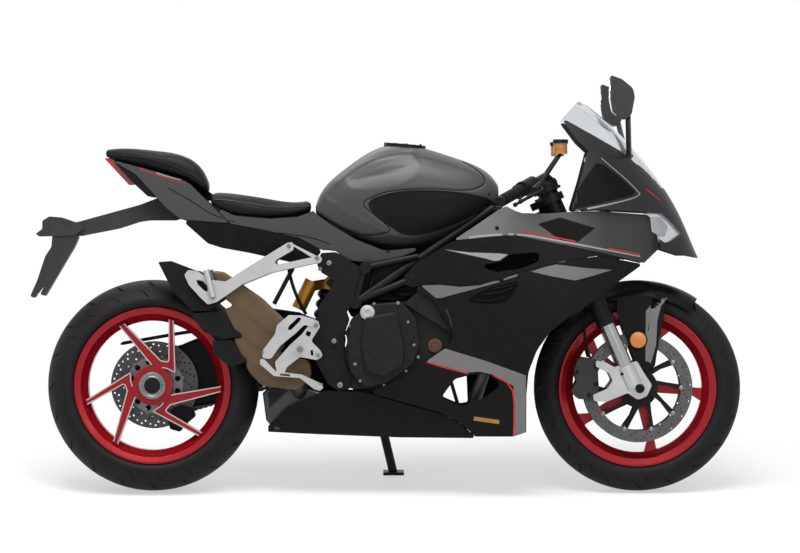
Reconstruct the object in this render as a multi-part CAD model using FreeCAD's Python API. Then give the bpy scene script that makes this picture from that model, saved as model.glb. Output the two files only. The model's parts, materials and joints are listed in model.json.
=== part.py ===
import FreeCAD, Part
import math
import os

# Sport bike, parked on its side stand.
# It is drawn upright in the bike frame, in millimetres: X to the front, Y to the left, Z up, on the ground
# midway between the axles. The finished pieces are then leaned over onto the stand.
# Side-view outlines are corners read from a side view, each with a corner radius: (across, down, radius).

V = FreeCAD.Vector
ORIGIN = V(0, 0, 0)
AXIS_X = V(1, 0, 0)
AXIS_Y = V(0, 1, 0)
AXIS_Z = V(0, 0, 1)
TURN = 360
QUARTER = 90

# Driving dimensions
wheelbase = 1424.0
rear_tyre_radius = 310.5
rear_tyre_width = 190.0
front_tyre_radius = 304.0
front_tyre_width = 120.0
rake_angle = 24.0
lean_angle = 10.0
fork_spacing = 210.0
bodywork_half_width = 208.0
panel_wall = 4.0
overrun = 400.0
running_clearance = 0.1
seat_gap = 0.3
arc_room_share = 0.46
straight_within = 0.01
surface_tolerance = 0.01
cubic_centimetre = 1000.0
moving_gap = 6.0

# The side view that the outlines are read from
wheelbase_px = 483.3
wheels_middle_px = 395.25
ground_px = 490.5
view_centre_across_px = 400.0
view_centre_down_px = 276.5
camera_distance = 16000.0
photo_scale = wheelbase / wheelbase_px

# How far across the panels of the fairing, tail, tail core and belly are seen in that view
fairing_seen_at = -190.0
tail_seen_at = -110.0
tail_core_seen_at = -105.0
belly_seen_at = -110.0

# Tyres and rims, as half widths and radii
tread_edge_share = 0.97
sidewall_bulge = 2.5
rim_protector = 3.0
bead_radius = 216.0
flange_radius = 230.0
flange_tip = 6.0
rim_wall = 6.0
well_depth = 20.0
rim_corner = 3.0
tyre_corner = 2.0
rear_bead_half = 76.0
rear_crown_drop = 56.0
rear_well_half = 34.0
front_bead_half = 44.0
front_crown_drop = 48.0
front_well_half = 16.0
front_flange_radius = 232.0
tyre_seat_gap = 0.2

# Rear hub, spindle, nut, brake disc and sprocket: radii and places across
rear_hub_radius = 58.0
rear_hub_right = -66.0
rear_hub_left = 48.0
rear_spoke_right = -58.0
rear_spoke_left = -20.0
rear_spoke_inner = 190.0
rear_forks = 3
spindle_radius = 30.0
spindle_left = 170.0
spindle_bore_radius = 14.0
spindle_bore_depth = 60.0
rear_nut_radius = 40.0
rear_nut_length = 22.0
rear_nut_bore = 24.0
rear_disc_radius = 129.0
rear_disc_inner = 84.0
disc_wall = 5.0
rear_disc_middle = 66.0
rear_carrier_wall = 3.0
rear_carrier_hub = 40.0
sprocket_teeth = 41
chain_pitch = 15.875
roller_radius = 5.08
sprocket_middle = 158.0
sprocket_wall = 6.0
sprocket_flange_radius = 46.0
sprocket_flange_wall = 8.0
sprocket_hole_radius = 17.0
sprocket_hole_ring = 68.0
sprocket_holes = 6
tooth_depth = 7.0
tooth_tip_share = 0.12
tooth_root_share = 0.32
chain_plate_gap = 9.0
chain_plate_wall = 3.0
chain_plate_height = 15.0
chain_tooth_gap = 1.6

# Front wheel: hub, spokes and discs
front_hub_radius = 34.0
front_hub_half = 60.0
front_axle_radius = 12.0
front_axle_half = 122.0
front_spoke_half = 16.0
front_spoke_inner = 202.0
front_disc_radius = 160.0
front_disc_inner = 126.0
front_disc_middle = 69.0
front_carrier_inner = 44.0
front_carrier_wall = 4.0
carrier_arms = 10
carrier_arm_width = 12.0
carrier_arm_inset = 1.0
front_spokes = 5
front_spoke_turn = -3.0

# Fork, in the fork's own frame: ahead of the fork line, across, up along it from the axle
axle_lead = 8.0
yoke_offset = 30.0
fork_outer_radius = 27.0
fork_outer_low = 206.0
fork_outer_high = 668.0
fork_seal_radius = 30.0
fork_seal_height = 18.0
stanchion_radius = 21.5
stanchion_low = 62.0
fork_foot_radius = 27.0
fork_foot_low = 8.0
fork_foot_high = 74.0
fork_foot_outer = 118.0
fork_foot_inner = 92.0
fork_boss_out = 2.0
fork_boss_in = 8.0
lower_yoke_low = 436.0
lower_yoke_wall = 38.0
upper_yoke_low = 598.0
upper_yoke_wall = 22.0
yoke_boss_radius = 37.0
yoke_corner = 8.0
yoke_back = 62.0
yoke_front = 10.0
stem_radius = 14.0
headstock_radius = 32.0
bar_clamp_low = 634.0
bar_clamp_wall = 28.0
bar_clamp_radius = 36.0
bar_radius = 11.0
grip_radius = 16.5
grip_length = 124.0
bar_end_radius = 14.0
bar_end_length = 18.0
bar_inner_across = 128.0
bar_outer_across = 352.0
bar_inner_px = (545.5, 176.0)
bar_outer_px = (502.5, 200.0)

# Chassis
rail_radius = 13.0
brace_radius = 10.0
cross_radius = 12.0
rail_half = 118.0
rail_bend_half = 96.0
headstock_half = 30.0
node_radius = 17.0
node_length = 16.0
side_plate_wall = 16.0
side_plate_inner = 102.0
pivot_radius = 34.0
pivot_cap_radius = 20.4
pivot_cap_out = 3.0
pivot_half = side_plate_inner - seat_gap
swingarm_inner = 102.0
swingarm_outer = 144.0
swingarm_front_inner = 56.0
swingarm_front_outer = 98.0
swingarm_last_wide = 3
swingarm_hub_radius = 76.0
swingarm_hub_low = 98.0
swingarm_hub_high = 147.0

# Engine and exhaust
crankcase_half = 150.0
head_half = 170.0
sump_half = 96.0
clutch_cover_out = 34.0
clutch_cover_step = 14.0
header_radius = 19.0
cylinders = 4
header_spacing = 92.0
header_squeeze = 0.55
header_spread_points = 3
header_bend = 60.0
collector_half = 98.0
collector_corner = 10.0
silencer_near = 102.0
silencer_far = 152.0
silencer_tip_near = 104.0
silencer_tip_far = 148.0

# Seats and tail
plate_arm_half = 24.0
plate_hood_half = 38.4
plate_bolt_radius = 3.0
plate_bolt_spacing = 44.0

# Side stand: pivot, splay and leg
stand_pivot_px = (379.0, 413.0)
stand_pivot_across = 150.0
stand_splay_angle = 25.0
stand_forward_angle = 12.0
stand_leg_length = 208.0
stand_leg_radius = 13.0
stand_foot_length = 62.0
stand_foot_width = 40.0
stand_foot_wall = 9.0
stand_pin_radius = 8.0
stand_pin_in = 20.0
stand_pin_length = 40.0
stand_hub_radius = 19.0
stand_hub_wall = 16.0
stand_bracket_wall = 10.0


# Places and basic shapes

def side(across, down, y=0.0):
    """X and Z of a point of the side view, for something at that Y."""
    shrink = 1 + y / camera_distance
    seen_across = view_centre_across_px + (across - view_centre_across_px) * shrink
    seen_down = view_centre_down_px + (down - view_centre_down_px) * shrink
    return (seen_across - wheels_middle_px) * photo_scale, (ground_px - seen_down) * photo_scale


def spot(across, down, y):
    x, z = side(across, down, y)
    return V(x, y, z)


def rounded_edges(corners, closed=True):
    """Straight edges and tangent arcs through (point, corner radius) pairs."""
    count = len(corners)
    ends = []
    for i, (here, radius) in enumerate(corners):
        inner = closed or 0 < i < count - 1
        if not inner or radius <= 0:
            ends.append((here, None, here))
            continue
        back = corners[i - 1][0] - here
        ahead = corners[(i + 1) % count][0] - here
        half = back.getAngle(ahead) / 2
        if half > math.pi / 2 - straight_within:
            ends.append((here, None, here))
            continue
        room = arc_room_share * min(back.Length, ahead.Length)
        reach = min(radius / math.tan(half), room)
        back.normalize()
        ahead.normalize()
        middle = (back + ahead).normalize()
        arc_radius = reach * math.tan(half)
        tip = here + middle * (arc_radius / math.sin(half) - arc_radius)
        ends.append((here + back * reach, tip, here + ahead * reach))
    edges = []
    for i, (start, tip, end) in enumerate(ends):
        if tip is not None:
            edges.append(Part.Arc(start, tip, end).toShape())
        if i < count - 1 or closed:
            edges.append(Part.makeLine(end, ends[(i + 1) % count][0]))
    return edges


def wire_of(corners):
    return Part.Wire(rounded_edges(corners))


def outline(points_px, y=0.0, seen_at=None):
    """A closed wire at Y from side-view corners."""
    depth = y if seen_at is None else seen_at
    corners = []
    for across, down, radius in points_px:
        x, z = side(across, down, depth)
        corners.append((V(x, y, z), radius * photo_scale))
    return wire_of(corners)


def prism(points_px, low_y, high_y, seen_at=None):
    depth = low_y if seen_at is None else seen_at
    return Part.Face(outline(points_px, low_y, depth)).extrude(V(0, high_y - low_y, 0))


def rod(start, end, radius):
    return Part.makeCylinder(radius, (end - start).Length, start, end - start)


def bar_along_y(centre, radius, low_y, high_y):
    return Part.makeCylinder(radius, high_y - low_y, V(centre.x, low_y, centre.z), AXIS_Y)


def frame_tube(points, radius):
    """Straight tube runs with a ball at each bend."""
    shape = rod(points[0], points[1], radius)
    for start, end in zip(points[1:], points[2:]):
        shape = shape.fuse([Part.makeSphere(radius, start), rod(start, end, radius)])
    return shape


def bent_tube(points, radius, bend):
    path = Part.Wire(rounded_edges([(p, bend) for p in points], closed=False))
    ring = Part.Wire(Part.makeCircle(radius, points[0], points[1] - points[0]))
    return path.makePipeShell([ring], True, False)


def turned(profile, centre):
    """A ring turned about an axle along Y, from (y, radius, corner radius) corners."""
    wire = wire_of([(V(0, y, r), corner) for y, r, corner in profile])
    solid = Part.Face(wire).revolve(ORIGIN, AXIS_Y, TURN)
    solid.translate(V(centre.x, 0, centre.z))
    return solid


def mirrored(shape):
    return shape.mirror(ORIGIN, AXIS_Y)


def both(shape):
    return Part.makeCompound([shape, mirrored(shape)])


def solid_of(shape):
    """The solids of a boolean result, joined faces merged."""
    return shape.removeSplitter()


def smooth_loft(wires):
    return Part.makeLoft(wires, True, False, False)


def skin(stations_px, levels_px, widths_along_shares, widths_up_shares, half_width):
    """A body surface on the right: its distance from the centre plane is a width along times a width up."""
    grid = []
    for across, along in zip(stations_px, widths_along_shares):
        row = []
        for down, up in zip(levels_px, widths_up_shares):
            y = -half_width * along * up
            row.append(spot(across, down, y))
        grid.append(row)
    surface = Part.BSplineSurface()
    surface.interpolate(grid)
    return surface.toShape()


def inner_side(face, point, direction=AXIS_Y, wall=panel_wall):
    """Where a line from a point, against that direction, comes to the inner side of a body surface."""
    line = Part.makeLine(point, point - direction * overrun)
    nearest = line.distToShape(face)[1][0][0]
    return nearest + direction * wall


def peg_to(face, start, radius, grip_depth=1.0):
    """A peg across from a point to the inside of the panel on its right, set into the wall a little."""
    end = inner_side(face, start)
    return rod(start, end - AXIS_Y * grip_depth, radius)


def filled(face, points_px, seen_at, wall=panel_wall):
    """All that lies inside the panels between an outline's edges, from one side to the other."""
    inside = face.copy()
    inside.translate(V(0, wall + seat_gap, 0))
    core = inside.extrude(V(0, overrun, 0))
    right = core.common(prism(points_px, -overrun, 0, seen_at))
    return solid_of(right.fuse(mirrored(right)))


def panel(face, points_px, wall=panel_wall, seen_at=fairing_seen_at, less=()):
    """The part of a body surface inside an outline and outside its neighbours', given a wall inwards."""
    slab = face.extrude(V(0, wall, 0))
    cutter = prism(points_px, -overrun, 0, seen_at)
    if less:
        cutter = cutter.cut([prism(other, -overrun, 0, seen_at) for other in less])
    return slab.common(cutter)


# Wheels

rear_axle = V(-wheelbase / 2, 0, rear_tyre_radius)
front_axle = V(wheelbase / 2, 0, front_tyre_radius)


def tyre(centre, radius, width, crown_drop, bead_half, flange):
    half = width / 2
    edge = half * tread_edge_share
    shoulder = radius - crown_drop
    seat = bead_radius + tyre_seat_gap
    bead = bead_half - tyre_seat_gap
    low_side = flange + tyre_seat_gap
    points = [V(0, -bead, seat), V(0, -bead, low_side), V(0, -edge, shoulder), V(0, edge, shoulder),
              V(0, bead, low_side), V(0, bead, seat)]
    side_middle = (low_side + shoulder) / 2
    foot = bead + flange_tip
    root = low_side + rim_protector
    bulge = half - sidewall_bulge
    inner = bead - tyre_corner
    heel = seat + tyre_corner
    edges = [
        Part.makeLine(V(0, -inner, seat), V(0, -bead, heel)),
        Part.makeLine(V(0, -bead, heel), points[1]),
        Part.makeLine(points[1], V(0, -foot, root)),
        Part.Arc(V(0, -foot, root), V(0, -bulge, side_middle + rim_protector), points[2]).toShape(),
        Part.Arc(points[2], V(0, 0, radius), points[3]).toShape(),
        Part.Arc(points[3], V(0, bulge, side_middle + rim_protector), V(0, foot, root)).toShape(),
        Part.makeLine(V(0, foot, root), points[4]),
        Part.makeLine(points[4], V(0, bead, heel)),
        Part.makeLine(V(0, bead, heel), V(0, inner, seat)),
        Part.makeLine(V(0, inner, seat), V(0, -inner, seat)),
    ]
    solid = Part.Face(Part.Wire(edges)).revolve(ORIGIN, AXIS_Y, TURN)
    solid.translate(V(centre.x, 0, centre.z))
    return solid


def barrel_profile(bead_half, well_half, flange):
    """The rim's own section, outer contour first and then the inner one."""
    tip = bead_half + flange_tip
    hump = (bead_half + well_half) / 2
    well = bead_radius - well_depth
    outer = [(-tip, flange), (-bead_half, flange), (-bead_half, bead_radius), (-hump, bead_radius - rim_wall / 2),
             (-well_half, well), (well_half, well), (hump, bead_radius - rim_wall / 2),
             (bead_half, bead_radius), (bead_half, flange), (tip, flange)]
    inner = [(tip, flange - rim_wall), (bead_half, bead_radius - rim_wall),
             (hump + rim_wall / 2, bead_radius - rim_wall * 3 / 2), (well_half + rim_wall / 2, well - rim_wall),
             (-well_half - rim_wall / 2, well - rim_wall), (-hump - rim_wall / 2, bead_radius - rim_wall * 3 / 2),
             (-bead_half, bead_radius - rim_wall), (-tip, flange - rim_wall)]
    return outer, inner


def barrel(centre, bead_half, well_half, flange):
    outer, inner = barrel_profile(bead_half, well_half, flange)
    corners = [(y, r, rim_corner / 2) for y, r in outer + inner]
    return turned(corners, centre)


def outside_of_barrel(centre, bead_half, well_half, flange):
    """The ring of space outside the rim, which trims the spokes' ends."""
    outer, _ = barrel_profile(bead_half, well_half, flange)
    shifted = [(y, r - rim_wall / 2, 0) for y, r in outer]
    tip = bead_half + flange_tip
    return turned(shifted + [(tip, flange + overrun, 0), (-tip, flange + overrun, 0)], centre)


# A rear spoke pair as polar corners about the axle: (radius share of the spoke length, angle, corner radius)
rear_fork_outer_shares = [(0.40, 28.0, 4.0), (0.335, 50.0, 6.0), (0.30, 92.0, 10.0), (1.06, 119.6, 0.0),
                          (1.06, 114.6, 0.0), (0.41, 72.0, 8.0), (0.44, 57.0, 5.0), (1.06, 76.6, 0.0),
                          (1.06, 72.2, 0.0)]
front_spoke_shares = [(0.12, -30.0, 0.0), (0.80, -5.0, 8.0), (1.06, -11.5, 0.0), (1.06, 6.0, 0.0),
                      (0.92, 2.5, 6.0), (0.12, 40.0, 0.0)]


def polar_prism(centre, shares, length, low_y, high_y, turn=0.0):
    corners = []
    for share, angle, corner in shares:
        a = math.radians(angle + turn)
        r = share * length
        corners.append((V(centre.x + r * math.cos(a), low_y, centre.z + r * math.sin(a)), corner))
    return Part.Face(wire_of(corners)).extrude(V(0, high_y - low_y, 0))


def rear_rim():
    shape = barrel(rear_axle, rear_bead_half, rear_well_half, flange_radius)
    outside = outside_of_barrel(rear_axle, rear_bead_half, rear_well_half, flange_radius)
    pairs = [polar_prism(rear_axle, rear_fork_outer_shares, rear_spoke_inner, rear_spoke_right, rear_spoke_left,
                         i * TURN / rear_forks) for i in range(rear_forks)]
    hub = bar_along_y(rear_axle, rear_hub_radius, rear_hub_right, rear_hub_left)
    spokes = hub.fuse([p.cut(outside) for p in pairs])
    shape = shape.fuse(spokes)
    bore = bar_along_y(rear_axle, spindle_radius, rear_hub_right - overrun, rear_hub_left + overrun)
    return solid_of(shape.cut(bore))


def rear_spindle():
    """The turning shaft with its nut: it goes through the rim, the disc, the swingarm's hub and the sprocket."""
    shaft = bar_along_y(rear_axle, spindle_radius, rear_hub_right, spindle_left)
    nut = bar_along_y(rear_axle, rear_nut_radius, rear_hub_right - rear_nut_length, rear_hub_right)
    collar = bar_along_y(rear_axle, spindle_radius + moving_gap, rear_disc_middle + disc_wall / 2,
                         swingarm_hub_low - seat_gap)
    shape = shaft.fuse([nut, collar])
    socket = bar_along_y(rear_axle, rear_nut_bore, rear_hub_right - rear_nut_length, rear_hub_right + rear_nut_length)
    bore = bar_along_y(rear_axle, spindle_bore_radius, spindle_left - spindle_bore_depth, spindle_left)
    return solid_of(shape.cut(socket.fuse(bore)))


def rear_disc():
    low = rear_disc_middle - disc_wall / 2
    high = rear_disc_middle + disc_wall / 2
    rotor = bar_along_y(rear_axle, rear_disc_radius, low, high)
    rotor = rotor.cut(bar_along_y(rear_axle, rear_disc_inner, low, high))
    carrier = bar_along_y(rear_axle, rear_disc_inner, low + 1, low + 1 + rear_carrier_wall)
    hub = bar_along_y(rear_axle, rear_carrier_hub, rear_hub_left, high)
    bore = bar_along_y(rear_axle, spindle_radius, rear_hub_left, high)
    return solid_of(rotor.fuse([carrier, hub]).cut(bore))


def sprocket_tip_radius():
    pitch_radius = chain_pitch / (2 * math.sin(math.pi / sprocket_teeth))
    return pitch_radius - roller_radius - chain_tooth_gap


def rear_sprocket():
    low = sprocket_middle - sprocket_wall / 2
    high = sprocket_middle + sprocket_wall / 2
    tip = sprocket_tip_radius()
    root = tip - tooth_depth
    corners = []
    step = TURN / sprocket_teeth
    for i in range(sprocket_teeth):
        for share, radius in ((-tooth_root_share, root), (-tooth_tip_share, tip), (tooth_tip_share, tip),
                              (tooth_root_share, root)):
            a = math.radians((i + share) * step)
            corners.append((V(rear_axle.x + radius * math.cos(a), low, rear_axle.z + radius * math.sin(a)), 0))
    shape = Part.Face(wire_of(corners)).extrude(V(0, high - low, 0))
    flange = bar_along_y(rear_axle, sprocket_flange_radius, swingarm_hub_high + moving_gap, high + sprocket_flange_wall)
    shape = shape.fuse(flange)
    cuts = [bar_along_y(rear_axle, spindle_radius, low - overrun, high + overrun)]
    for i in range(sprocket_holes):
        a = 2 * math.pi * i / sprocket_holes
        centre = rear_axle + V(math.cos(a), 0, math.sin(a)) * sprocket_hole_ring
        cuts.append(bar_along_y(centre, sprocket_hole_radius, low - overrun, high + overrun))
    return solid_of(shape.cut(cuts))


def front_rim():
    shape = barrel(front_axle, front_bead_half, front_well_half, front_flange_radius)
    outside = outside_of_barrel(front_axle, front_bead_half, front_well_half, front_flange_radius)
    step = TURN / front_spokes
    spokes = [polar_prism(front_axle, front_spoke_shares, front_spoke_inner, -front_spoke_half, front_spoke_half,
                          front_spoke_turn + i * step).cut(outside) for i in range(front_spokes)]
    hub = bar_along_y(front_axle, front_hub_radius, -front_hub_half, front_hub_half)
    shape = shape.fuse([hub] + spokes)
    bore = bar_along_y(front_axle, front_axle_radius + running_clearance, -overrun, overrun)
    return solid_of(shape.cut(bore))


def front_disc():
    """The right-hand rotor on its floating carrier with curved arms."""
    middle = -front_disc_middle
    low = middle - disc_wall / 2
    high = middle + disc_wall / 2
    rotor = bar_along_y(front_axle, front_disc_radius, low, high)
    rotor = rotor.cut(bar_along_y(front_axle, front_disc_inner, low, high))
    ring_in = front_carrier_inner + carrier_arm_width
    inner = bar_along_y(front_axle, ring_in, low, -front_hub_half)
    arms = []
    for i in range(carrier_arms):
        a = 2 * math.pi * i / carrier_arms
        lean = a + math.pi / carrier_arms
        start = V(math.cos(a), 0, math.sin(a)) * front_carrier_inner
        end = V(math.cos(lean), 0, math.sin(lean)) * (front_disc_inner + rim_wall / 2)
        along = (end - start)
        across = V(-along.z, 0, along.x).normalize() * (carrier_arm_width / 2)
        corners = [(front_axle + p + V(0, low + carrier_arm_inset, 0), 0) for p in
                   (start - across, end - across, end + across, start + across)]
        arms.append(Part.Face(wire_of(corners)).extrude(V(0, front_carrier_wall, 0)))
    shape = rotor.fuse([inner] + arms)
    bore = bar_along_y(front_axle, front_hub_radius - rim_wall, low, -front_hub_half)
    return solid_of(shape.cut(bore))


# Fork and steering. Shapes are drawn in the fork's frame and then raked.

def raked(shape):
    shape.rotate(ORIGIN, AXIS_Y, -rake_angle)
    base = fork_base()
    shape.translate(base)
    return shape


def fork_base():
    a = math.radians(rake_angle)
    ahead = V(math.cos(a), 0, math.sin(a))
    return front_axle - ahead * axle_lead


def fork_spot(ahead, y, up):
    a = math.radians(rake_angle)
    return fork_base() + V(math.cos(a), 0, math.sin(a)) * ahead + V(0, y, 0) + V(-math.sin(a), 0, math.cos(a)) * up


fork_y = -fork_spacing / 2


def post(ahead, y, low, high, radius):
    return Part.makeCylinder(radius, high - low, V(ahead, y, low), AXIS_Z)


def fork_outer_tubes():
    tube = post(0, fork_y, fork_outer_low, fork_outer_high, fork_outer_radius)
    seal = post(0, fork_y, fork_outer_low, fork_outer_low + fork_seal_height, fork_seal_radius)
    return both(raked(solid_of(tube.fuse(seal))))


def fork_stanchions():
    return both(raked(post(0, fork_y, stanchion_low, fork_outer_low, stanchion_radius)))


fork_foot_px = [(596, 360.5, 1.5), (606, 362.5, 3), (614, 367, 3), (623, 365, 2), (637, 361, 2),
                (644, 373, 4), (652, 385, 4), (647, 396, 5), (638, 400, 5), (628, 393, 4), (606, 402, 2),
                (594, 401, 1.5), (593, 395, 1.5), (607, 389, 4), (613, 381, 4), (609, 373, 4),
                (596, 366.5, 1.5)]


def fork_feet():
    """The cast lower end with its radial caliper arms."""
    arms = prism(fork_foot_px, -fork_foot_outer, -fork_foot_inner)
    sleeve = raked(post(0, fork_y, fork_foot_low, fork_foot_high, fork_foot_radius))
    boss = bar_along_y(front_axle, front_axle_radius + rim_wall * 2, -fork_foot_outer - fork_boss_out,
                       -fork_foot_inner + fork_boss_in)
    shape = arms.fuse([sleeve, boss])
    holes = bar_along_y(front_axle, front_axle_radius, -overrun, overrun)
    socket = raked(post(0, fork_y, stanchion_low, fork_foot_high + overrun, stanchion_radius))
    return both(solid_of(shape.cut([holes, socket])))


def front_axle_bar():
    return bar_along_y(front_axle, front_axle_radius, -front_axle_half, front_axle_half)


def yoke(low, wall):
    bosses = [post(0, s * fork_y, low, low + wall, yoke_boss_radius) for s in (1, -1)]
    corners = [(yoke_front, fork_y), (-fork_outer_radius, fork_y), (-yoke_back, -stem_radius * 2)]
    corners = corners + [(x, -y) for x, y in reversed(corners)]
    web = Part.Face(wire_of([(V(x, y, low), yoke_corner) for x, y in corners])).extrude(V(0, 0, wall))
    web = web.fuse(bosses)
    tubes = [post(0, s * fork_y, low, low + wall, fork_outer_radius) for s in (1, -1)]
    return web.cut(tubes)


def yokes():
    lower = yoke(lower_yoke_low, lower_yoke_wall)
    upper = yoke(upper_yoke_low, upper_yoke_wall)
    stem = post(-yoke_offset, 0, lower_yoke_low, upper_yoke_low + upper_yoke_wall + moving_gap, stem_radius)
    return raked(solid_of(lower.fuse([upper, stem])))


def bar_spots():
    inner = spot(*bar_inner_px, -bar_inner_across)
    outer = spot(*bar_outer_px, -bar_outer_across)
    return inner, outer


def handlebars():
    inner, outer = bar_spots()
    along = (outer - inner).normalize()
    clamp = raked(post(0, fork_y, bar_clamp_low, bar_clamp_low + bar_clamp_wall, bar_clamp_radius))
    neck = rod(fork_spot(fork_outer_radius, fork_y, bar_clamp_low + bar_clamp_wall / 2), inner, bar_radius)
    ball = Part.makeSphere(bar_radius, inner)
    bar = rod(inner, outer, bar_radius)
    end = rod(outer, outer + along * bar_end_length, bar_end_radius)
    shape = clamp.fuse([neck, ball, bar, end])
    tube = raked(post(0, fork_y, bar_clamp_low - overrun, bar_clamp_low + overrun, fork_outer_radius))
    return both(solid_of(shape.cut(tube)))


def grips():
    inner, outer = bar_spots()
    along = (outer - inner).normalize()
    start = outer - along * grip_length
    rubber = rod(start, outer, grip_radius)
    flange = rod(start, start + along * rim_wall, grip_radius + rim_wall)
    core = rod(start, outer, bar_radius)
    return both(solid_of(rubber.fuse(flange).cut(core)))


control_length = 62.0
control_radius = 21.0
lever_gap = 46.0
lever_wall = 9.0
reservoir_radius = 20.0
reservoir_height = 42.0
reservoir_cap_height = 12.0
reservoir_px = (560.5, 154.0)
reservoir_across = 155.0
reservoir_cap_edge = 2.0
cylinder_radius = 12.0
pump_back = 6.0
pump_length = 74.0
pump_toe_out = 10.0
stalk_along = 14.0
lever_knee_ahead = 23.0
lever_knee_along = 22.0
lever_blade = 135.0
lever_toe_in = 4.0
lever_ball_radius = 7.2


def bar_controls():
    """Switch block, master cylinder and its reservoir post on each bar."""
    inner, outer = bar_spots()
    along = (outer - inner).normalize()
    start = outer - along * (grip_length + control_length + rim_wall / 2)
    block = rod(start, start + along * control_length, control_radius)
    ahead = AXIS_X - along * along.x
    ahead.normalize()
    pump_start = start + ahead * (control_radius + cylinder_radius / 2) - along * pump_back
    pump_end = pump_start + along * pump_length + ahead * pump_toe_out
    pump = rod(pump_start, pump_end, cylinder_radius)
    shape = block.fuse(pump)
    cup = spot(*reservoir_px, -reservoir_across)
    stalk = rod(pump_start + along * stalk_along, cup, bar_radius / 2)
    shape = shape.fuse(stalk)
    core = rod(inner, outer, bar_radius)
    cup_solid = Part.makeCylinder(reservoir_radius, reservoir_height, cup, AXIS_Z)
    return both(solid_of(shape.cut([core, cup_solid])))


def reservoirs():
    cup = spot(*reservoir_px, -reservoir_across)
    body = Part.makeCylinder(reservoir_radius, reservoir_height, cup, AXIS_Z)
    cap = Part.makeCylinder(reservoir_radius + reservoir_cap_edge, reservoir_cap_height,
                            cup + V(0, 0, reservoir_height - reservoir_cap_height), AXIS_Z)
    return both(solid_of(body.fuse(cap)))


def levers():
    """Brake and clutch levers, each from its perch ahead of the grip."""
    inner, outer = bar_spots()
    along = (outer - inner).normalize()
    ahead = AXIS_X - along * along.x
    ahead.normalize()
    start = outer - along * (grip_length + lever_gap)
    perch = start + ahead * (control_radius + cylinder_radius)
    knee = perch + ahead * lever_knee_ahead + along * lever_knee_along
    tip = knee + along * lever_blade - ahead * lever_toe_in
    shape = frame_tube([perch, knee, tip], lever_wall / 2)
    ball = Part.makeSphere(lever_ball_radius, tip)
    pivot = Part.makeCylinder(lever_wall, lever_wall * 2, perch - V(0, 0, lever_wall), AXIS_Z)
    return shape.fuse([ball, pivot])


fender_arch_gap = 9.0
fender_wall = 3.0
fender_half = 70.0
fender_side_drop = 46.0
fender_shoulder_half = 50.4
fender_shoulder_drop = 13.8
fender_shelf_inner = 63.0
fender_start_angle = 56.0
fender_end_angle = 140.0
fender_leg_px = [(655, 304, 2), (665, 297, 2), (664, 318, 2), (659, 340, 3), (655, 366, 2), (648, 371, 2),
                 (639, 371, 2), (636, 360, 3), (641, 345, 3), (648, 330, 4), (650, 312, 3)]


def fender_side():
    """The ledge along the arch's edge and the flat panel that hangs from it beside the fork."""
    low, high = fender_ledge_low, fender_ledge_high
    corners = [(-fender_ledge_out, low), (-fender_ledge_in, low), (-fender_ledge_in, high), (-fender_ledge_out, high)]
    face = Part.Face(wire_of([(V(0, y, r), 0) for y, r in corners]))
    face.rotate(ORIGIN, AXIS_Y, QUARTER - fender_ledge_end_angle)
    ledge = face.revolve(ORIGIN, AXIS_Y, fender_ledge_end_angle - fender_ledge_start_angle)
    ledge.translate(V(front_axle.x, 0, front_axle.z))
    plate = prism(fender_plate_px, -fender_ledge_out + fender_plate_inset, -fender_leg_across)
    return ledge.fuse(plate)


def front_fender():
    """An arched mudguard over the tyre with a leg down to each fork foot."""
    outer_r = front_tyre_radius + fender_arch_gap + fender_wall
    drop = fender_side_drop
    outer = [(-fender_half, outer_r - drop), (-fender_shoulder_half, outer_r - fender_shoulder_drop), (0, outer_r)]
    inner = [(y * (1 - fender_wall / fender_half), r - fender_wall) for y, r in outer]
    p = [V(0, y, r) for y, r in outer]
    q = [V(0, y, r) for y, r in inner]
    p_end = V(0, -p[0].y, p[0].z)
    q_end = V(0, -q[0].y, q[0].z)
    edges = [Part.Arc(p[0], p[2], p_end).toShape(), Part.makeLine(p_end, q_end),
             Part.Arc(q_end, q[2], q[0]).toShape(), Part.makeLine(q[0], p[0])]
    face = Part.Face(Part.Wire(edges))
    start = QUARTER - fender_end_angle
    face.rotate(ORIGIN, AXIS_Y, start)
    arch = face.revolve(ORIGIN, AXIS_Y, fender_end_angle - fender_start_angle)
    arch.translate(V(front_axle.x, 0, front_axle.z))
    outer_y = -fender_leg_across - fender_leg_wall
    leg = prism(fender_leg_px, outer_y, -fender_leg_across)
    shelf = prism(fender_shelf_px, outer_y, -fender_shelf_inner)
    foot = bar_along_y(spot(*fender_boss_px, outer_y), fender_boss_radius, -fork_foot_inner, -fender_leg_across)
    right = leg.fuse([shelf, foot, fender_side()])
    return solid_of(arch.fuse([right, mirrored(right)]))


fender_shelf_px = [(657, 291, 0), (668, 294, 0), (667.5, 300.5, 0), (656, 297.5, 0)]
fender_boss_px = (640.5, 367.0)
fender_boss_radius = 7.0
fender_plate_px = [(617, 298, 2), (652, 296, 1), (650, 330, 4), (651, 365, 2), (641, 370, 2), (635, 362, 3),
                   (626, 338, 6), (617, 312, 4)]
fender_ledge_in = 69.0
fender_ledge_out = 82.0
fender_ledge_low = 266.0
fender_ledge_high = 271.0
fender_ledge_start_angle = 74.0
fender_ledge_end_angle = 106.0
fender_plate_inset = 0.5
fender_leg_across = 78.0
fender_leg_wall = 6.0
caliper_px = [(581, 357, 3), (597, 360, 2), (598, 372, 3), (599, 388, 3), (594, 400, 2), (578, 399, 3),
              (571, 391, 3), (577, 381, 3), (574, 371, 3), (577, 361, 3)]
caliper_outer = 95.0
caliper_inner = 47.0


def front_calipers():
    body = prism(caliper_px, -caliper_outer, -caliper_inner)
    low = -front_disc_middle - disc_wall / 2 - moving_gap
    high = -front_disc_middle + disc_wall / 2 + moving_gap
    slot = bar_along_y(front_axle, front_disc_radius + moving_gap, low, high)
    body = body.cut(slot)
    return both(solid_of(body.cut(prism(fork_foot_px, -fork_foot_outer, -fork_foot_inner))))


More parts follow.
